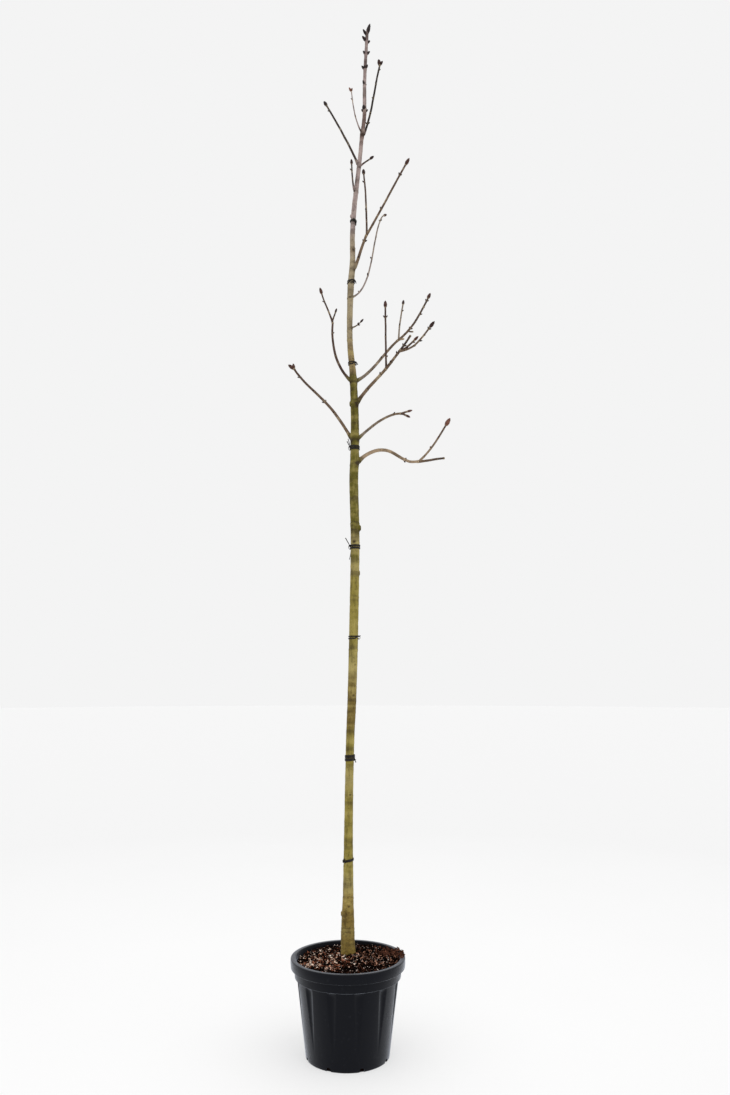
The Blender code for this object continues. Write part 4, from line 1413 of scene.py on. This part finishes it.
# ---- Winter buds and leaf scars -----------------------------------------------------
# Fat, pointed winter buds sealed by overlapping pairs of sticky dark scales: one at the
# end of each shoot, opposite pairs at its joints and a cluster on the leader.  Under each
# side bud last year's leaf left a pale corky scar.
Bud = namedtuple("Bud", "height heading length thickness slope")
LEADER_BUDS = (
    Bud(3.612, 5, 0.021, 0.0085, 45),
    Bud(3.612, 185, 0.019, 0.0085, 45),
    Bud(3.735, 60, 0.022, 0.0080, 50),
    Bud(3.735, 240, 0.022, 0.0080, 50),
    Bud(3.808, 185, 0.021, 0.0085, 52),
    Bud(3.812, 350, 0.020, 0.0080, 60),
    Bud(3.878, 15, 0.024, 0.0085, 50),
    Bud(3.878, 195, 0.019, 0.0080, 55),
    Bud(3.932, 10, 0.019, 0.0085, 45),
    Bud(3.940, 190, 0.027, 0.0100, 52),
    Bud(3.968, 185, 0.030, 0.0090, 60),
    Bud(3.975, 0, 0.044, 0.0120, 76),
)
FACING_BUDS = (             # pressed to the leader on its near and far sides
    Bud(3.622, 250, 0.022, 0.0125, 72),
    Bud(3.622, 100, 0.020, 0.0110, 70),
    Bud(3.812, 262, 0.014, 0.0070, 74),
)
LEADER_BUD_GROWN = 1.18
LEADER_BUDS_GROWN_ABOVE = 3.8
LEADER_BUD_PLUMP = 1.14
BUD_LENGTH = 0.0255         # of an end bud of size 1
BUD_THICKNESS = 0.0130
BUD_SCALES = 4              # rows of scales from foot to point
BUD_BLACK = (18, 10, 10)
BUD_BROWN = (42, 25, 23)
BUD_RED = (92, 54, 42)
BUD_TAN = (138, 92, 74)
BUD_EDGE = (120, 84, 70)
BUD_COURSE = ((0.0, 0.60), (0.08, 0.84), (0.36, 1.0), (0.70, 0.78), (0.90, 0.40), (1.0, 0.06))


def bud_width(share):
    for (low, first), (high, second) in zip(BUD_COURSE, BUD_COURSE[1:]):
        if share <= high:
            step = (share - low) / (high - low)
            return first + (second - first) * step * step * (3 - 2 * step)
    return BUD_COURSE[-1][1]


def bud_shape(name, sides, rows):
    """A bud whose scales overlap in opposite pairs, each pair a quarter turn on."""
    rings = []
    for row in range(rows + 1):
        share = row / rows

        def reach_at(heading):
            scale = share * BUD_SCALES + 0.42 * cos(2 * heading)
            return BUD_THICKNESS / 2 * bud_width(share) * (0.94 + 0.10 * (scale % 1.0))

        rings.append(level_ring(share * BUD_LENGTH, sides, reach_at))
    mesh = skin(name, rings, (0, 0, 0), (0, 0, BUD_LENGTH * 1.02))
    return bpy.data.objects.new(name, mesh)


def make_bud_setter():
    """Sets one shape on each point, along the point's own way and to its own size."""
    tree, given = new_growth("set_buds", Shape="Object", Seed="Int", Skin="Material")
    way, size = (
        new(tree, "GeometryNodeInputNamedAttribute", {"Name": name}, data_type="FLOAT_VECTOR")
        for name in ("way", "size")
    )
    standing = new(tree, "FunctionNodeAlignRotationToVector", {"Vector": way}, axis="Z")
    spin = random_value(tree, "FLOAT_VECTOR", (0, 0, 0), (0, 0, 2 * pi), given["Seed"])
    turn = new(tree, "FunctionNodeEulerToRotation", {"Euler": spin})
    turned_way = new(tree, "FunctionNodeRotateRotation",
                     {"Rotation": standing, "Rotate By": turn}, rotation_space="LOCAL")
    shape = put(tree, "GeometryNodeObjectInfo", {"Object": given["Shape"]}).outputs["Geometry"]
    points = new(tree, "GeometryNodeMeshToPoints", {"Mesh": given["Geometry"]})
    set_out(tree, points, shape, turned_way, size, given["Skin"])
    return tree


BUD_SETTER = make_bud_setter()


def add_set(name, joints, shape, material, seed, crease):
    """A piece of one shape set on every joint.  The shape is removed."""
    mesh = bpy.data.meshes.new(name)
    mesh.from_pydata([joint.place for joint in joints], [], [])
    add_values(mesh, "warmth", [joint.warmth for joint in joints])
    for label, rows in (
        ("way", [joint.way for joint in joints]),
        ("size", [(j.size * j.plump, j.size * j.plump, j.size) for j in joints]),
    ):
        parts = [part for row in rows for part in row]
        mesh.attributes.new(label, "FLOAT_VECTOR", "POINT").data.foreach_set("vector", parts)
    made = grow(name, mesh, BUD_SETTER, Shape=shape, Seed=seed, Skin=material)
    bpy.data.objects.remove(shape, do_unlink=True)
    add_piece(name, made, material, crease=crease)


def make_bud_skin():
    """Sticky bud scales: almost black to warm red brown, paler at the edges, dull shine."""
    material, tree, _, seen = new_material("bud_scales", 120.0, 500.0, 2200.0)
    tone = ranged(tree, seen["Patches"], 0.35, 0.68)
    dark = mixed(tree, tone, tint(BUD_BLACK), tint(BUD_BROWN))
    warm = mixed(tree, tone, tint(BUD_RED), tint(BUD_TAN))
    edge = ranged(tree, seen["Specks"], 0.62, 0.75, 0.0, 0.35)
    colour = mixed(tree, own_value(tree, "warmth"), dark, warm)
    colour = mixed(tree, edge, colour, tint(BUD_EDGE))
    dress(tree, colour, ranged(tree, tone, 0.0, 1.0, 0.34, 0.6), 0.2, seen["Specks"], 0.0004)
    return material


def build_buds():
    for bud in LEADER_BUDS + FACING_BUDS:
        middle, thickness = trunk_at(bud.height)
        way = pointing(bud.heading, bud.slope)
        out = pointing(bud.heading, 0)
        start = middle + (out * (thickness / 2 - 0.0015) if bud in FACING_BUDS else way * 0.003)
        grown = LEADER_BUD_GROWN if bud.height > LEADER_BUDS_GROWN_ABOVE else 1.0
        size = (bud.length - 0.003) / BUD_LENGTH * grown
        plump = LEADER_BUD_PLUMP * bud.thickness * grown / (BUD_THICKNESS * size)
        END_BUDS.append(Joint(start, way, size, 0.0, plump))
        scar = middle + out * (thickness / 2 - 0.0006) - Vector((0, 0, 0.003))
        LEAF_SCARS.append(Joint(scar, out, 0.5, 0.0))
    scales = make_bud_skin()
    add_set("end_buds", END_BUDS, bud_shape("end_bud", 18, 26), scales, 2, 35)
    add_set("side_buds", SIDE_BUDS, bud_shape("side_bud", 8, 7), scales, 6, 45)
    scar = lens_shape("leaf_scar", 0.0120, 0.0100, 0.0012)
    add_set("leaf_scars", LEAF_SCARS, scar, CORK, 9, 60)


build_buds()


# ---- Tree ties ----------------------------------------------------------------------
# Soft black hollow tie, wound once or twice round the trunk in the nursery to hold it
# straight, tucked under itself at a knot and cut off with one or two short tails.
Tie = namedtuple("Tie", "node height turns width pitch rise knot tails")
Tail = namedtuple("Tail", "heading slope length")
TIES = (                    # rise: how much higher the strip is on the +X side
    Tie("tie_1", 0.640, 1, 0.0092, 0.0, 0.0035, 200, (Tail(262, -8, 0.008),)),
    Tie("tie_2", 1.004, 2, 0.0104, 0.0118, 0.0012, 18,
        (Tail(80, 10, 0.008), Tail(335, -62, 0.015))),
    Tie("tie_3", 1.447, 2, 0.0048, 0.0078, 0.0006, 340, (Tail(20, 20, 0.008),)),
    Tie("tie_4", 1.792, 2, 0.0074, 0.0092, 0.0004, 150,
        (Tail(180, 60, 0.034), Tail(190, -78, 0.042))),
    Tie("tie_5", 2.184, 2, 0.0076, 0.0088, -0.0006, 150,
        (Tail(185, 62, 0.022), Tail(184, 72, 0.046))),
    Tie("tie_6", 2.528, 2, 0.0048, 0.0080, 0.0008, 330, (Tail(340, -40, 0.010),)),
    Tie("tie_7", 2.868, 2, 0.0044, 0.0086, 0.0012, 284,
        (Tail(318, -70, 0.016), Tail(240, -50, 0.012))),
    Tie("tie_8", 3.128, 1, 0.0100, 0.0, 0.0002, 258, (Tail(285, -86, 0.024),)),
)
TIE_BLACK = (20, 17, 15)
TIE_DUSTY = (46, 41, 36)
TIE_THICKNESS = 0.0026
TIE_CLEARANCE = 0.0004
TIE_CROSSING = 60.0         # degrees over which the strip steps up to its next turn
TIE_OVERLAP = 42.0          # degrees that the last turn runs on over the first
TIE_STEPS = 80              # points in one turn
KEEPER_WIDTH = 0.0055       # of the loop that holds the turns together
KEEPER_THICKNESS = 0.0018
KEEPER_STEPS = 16
TAIL_STEPS = 12
TAIL_TWIST = (-1.0, -0.15, 0.10)  # a tail's flat side turns this way


def strip_mesh(name, path, outs, width, thickness):
    """A flat strip with round edges along a path.  Outs point away from the trunk."""
    rings = []
    for index, place in enumerate(path):
        way = path[min(index + 1, len(path) - 1)] - path[max(index - 1, 0)]
        way.normalize()
        out = (outs[index] - way * outs[index].dot(way)).normalized()
        up = way.cross(out)
        ring = []
        for turn in headings(12):
            flat = abs(sin(turn)) ** 0.7 * (1 if sin(turn) > 0 else -1)
            ring.append(place + out * cos(turn) * thickness / 2 + up * flat * width / 2)
        rings.append(ring)
    return skin(name, rings, path[0], path[-1])


def tail_of(place, way, out, tail):
    """A short tail that bends from the strip's way to its own."""
    tip_way = pointing(tail.heading, tail.slope)
    tip = place + (way * 0.15 + tip_way * 0.85).normalized() * tail.length
    path = []
    outs = []
    for step in range(1, TAIL_STEPS + 1):
        share = step / TAIL_STEPS
        path.append(ease(share, place, tip, way * tail.length * 0.5, tip_way * tail.length))
        outs.append(out.lerp(Vector(TAIL_TWIST), share))
    return path, outs


def level_of(tie, turned):
    """Height of the strip after it has turned so far: level, but for a step at each knot."""
    whole, part = divmod(turned, 360)
    step = max(0.0, (part - 360 + TIE_CROSSING) / TIE_CROSSING)
    risen = min(whole + step * step * (3 - 2 * step), tie.turns - 1)
    lean = tie.rise * cos(radians(tie.knot + turned))
    return tie.height + lean + (risen - (tie.turns - 1) / 2) * tie.pitch


def build_tie(tie):
    """The strip of a tie from tail to tail.  Its points and the ways out from the trunk."""
    total = 360 * tie.turns + TIE_OVERLAP
    count = int(TIE_STEPS * total / 360)
    path = []
    outs = []
    for step in range(count + 1):
        turned = total * step / count
        middle, thickness = trunk_at(level_of(tie, turned))
        lapped = max(0.0, min(1.0, (turned - 360 * tie.turns + 30) / 45))
        reach = thickness / 2 + TIE_CLEARANCE + TIE_THICKNESS * (0.5 + lapped)
        out = outward(radians(tie.knot + turned))
        path.append(middle + out * reach)
        outs.append(out)
    for tail in tie.tails:
        more, more_outs = tail_of(path[-1], (path[-1] - path[-2]).normalized(), outs[-1], tail)
        path = (path + more)[::-1]
        outs = (outs + more_outs)[::-1]
    if len(tie.tails) == 1:
        path.reverse()
        outs.reverse()
    return strip_mesh(tie.node, path, outs, tie.width, TIE_THICKNESS)


def build_keeper(tie):
    """The short loop over the turns of a tie, at its knot."""
    middle, thickness = trunk_at(tie.height)
    out = outward(radians(tie.knot + TIE_OVERLAP * 0.55))
    inner = middle + out * (thickness / 2 + TIE_CLEARANCE + 0.001)
    tall = (tie.width + (tie.turns - 1) * tie.pitch) / 2 + 0.001
    loop = []
    for step in range(KEEPER_STEPS + 1):
        turn = pi * (step / KEEPER_STEPS - 0.5)
        deep = out * cos(turn) * (TIE_THICKNESS * 2 + 0.0012)
        loop.append(inner + deep + UP * sin(turn) * tall)
    outs = [place - inner for place in loop]
    return strip_mesh(tie.node, loop, outs, KEEPER_WIDTH, KEEPER_THICKNESS)


def joined(name, meshes):
    """One mesh of several."""
    shape = bmesh.new()
    for mesh in meshes:
        shape.from_mesh(mesh)
    made = bpy.data.meshes.new(name)
    shape.to_mesh(made)
    shape.free()
    return made


def make_tie_rubber():
    """Soft black plastic, dusty grey where it has weathered."""
    material, tree, _, seen = new_material("tie_rubber", 60.0, 300.0, 1600.0)
    dust = ranged(tree, seen["Patches"], 0.4, 0.7)
    colour = mixed(tree, dust, tint(TIE_BLACK), tint(TIE_DUSTY))
    gloss = ranged(tree, seen["Specks"], 0.3, 0.7, 0.45, 0.7)
    dress(tree, colour, gloss, 0.2, seen["Grain"], 0.0003)
    return material


TIE_RUBBER = make_tie_rubber()
for tie in TIES:
    mesh = joined(tie.node, [build_tie(tie), build_keeper(tie)])
    add_piece(tie.node + "_strip", mesh, TIE_RUBBER, [tie.node])


# ---- Studio -------------------------------------------------------------------------
# A pale floor that glows a little and is painted whiter round the tree as a pool of light, an even
# white surround and two tall soft lights, as nurseries have them to show their stock.
FLOOR_RADIUS = 40.0
BACKDROP = (244, 244, 244)  # what the camera sees behind the tree
SURROUND_STRENGTH = 0.80    # of the white light from all round
FLOOR_WHITE = (243, 243, 243)
POOL_OF_LIGHT_WHITE = (252, 252, 252)
FLOOR_GLOW = 0.5            # share of the floor's white that no shadow darkens
FLOOR_LIGHT = 0.975         # how bright the studio lights a white floor
POOL_OF_LIGHT_RADIUS = (1.2, 5.0)   # a painted pool of light: the floor is whitest inside the first, and plain past the second
SUN_WIDTH = 70.0            # degrees that each soft light spreads over
CAMERA_PLACE = (0.060, -3.266, 1.294)
CAMERA_PITCH = 8.52         # degrees above level
CAMERA_LENS = 28.75
CAMERA_SENSOR = 36.0


def build_floor():
    rings = [level_ring(height, 96, lambda _: FLOOR_RADIUS) for height in (-0.02, 0.0)]
    mesh = skin("floor", rings, (0, 0, -0.02), (0, 0, 0.0))
    material, tree, place, seen = new_material("pale_floor", 1.2, 40.0, 300.0)
    reach = sum_of(tree, vector_of(tree, "LENGTH", place), seen["Patches"])
    # painted pool of light: the floor is whiter near the tree
    in_pool_of_light = ranged(tree, reach, *POOL_OF_LIGHT_RADIUS, 1.0, 0.0)
    shade = mixed(tree, in_pool_of_light, tint(FLOOR_WHITE), tint(POOL_OF_LIGHT_WHITE))
    feed(tree, tree.nodes["Principled BSDF"], {
        "Base Color": mixed(tree, FLOOR_GLOW, shade, tint((0, 0, 0))),
        "Emission Color": shade,
        "Emission Strength": FLOOR_GLOW * FLOOR_LIGHT,
        "Roughness": ranged(tree, seen["Specks"], 0.0, 1.0, 0.75, 0.9),
    })
    mesh.materials.append(material)
    new_object("floor", mesh)


def add_soft_sun(name, heading, slope_angle, strength):
    """Even light from one side, with a very soft edge to its shadows."""
    data = bpy.data.lights.new(name, "SUN")
    data.energy = strength
    data.angle = radians(SUN_WIDTH)
    lamp = new_object(name, data)
    lamp.rotation_euler = (-pointing(heading, slope_angle)).to_track_quat("-Z", "Y").to_euler()


def light_studio():
    world = bpy.data.worlds.new("surround")
    world.use_nodes = True
    tree = world.node_tree
    white = feed(tree, tree.nodes["Background"],
                 {"Color": (1, 1, 1, 1), "Strength": SURROUND_STRENGTH}).outputs[0]
    seen = put(tree, "ShaderNodeLightPath").outputs["Is Camera Ray"]
    behind = new(tree, "ShaderNodeBackground", {"Color": tint(BACKDROP)})
    both = new(tree, "ShaderNodeMixShader", {0: seen, 1: white, 2: behind})
    tree.links.new(both, tree.nodes["World Output"].inputs["Surface"])
    bpy.context.scene.world = world
    add_soft_sun("left_light", 232, 52, 0.42)
    add_soft_sun("right_light", 326, 44, 0.50)


def aim_camera():
    data = bpy.data.cameras.new("camera")
    data.lens = CAMERA_LENS
    data.sensor_width = CAMERA_SENSOR
    camera = new_object("camera", data)
    camera.location = CAMERA_PLACE
    camera.rotation_euler = (radians(90 + CAMERA_PITCH), 0, 0)
    bpy.context.scene.camera = camera


build_floor()
light_studio()
aim_camera()
bpy.context.scene.view_settings.view_transform = "Standard"
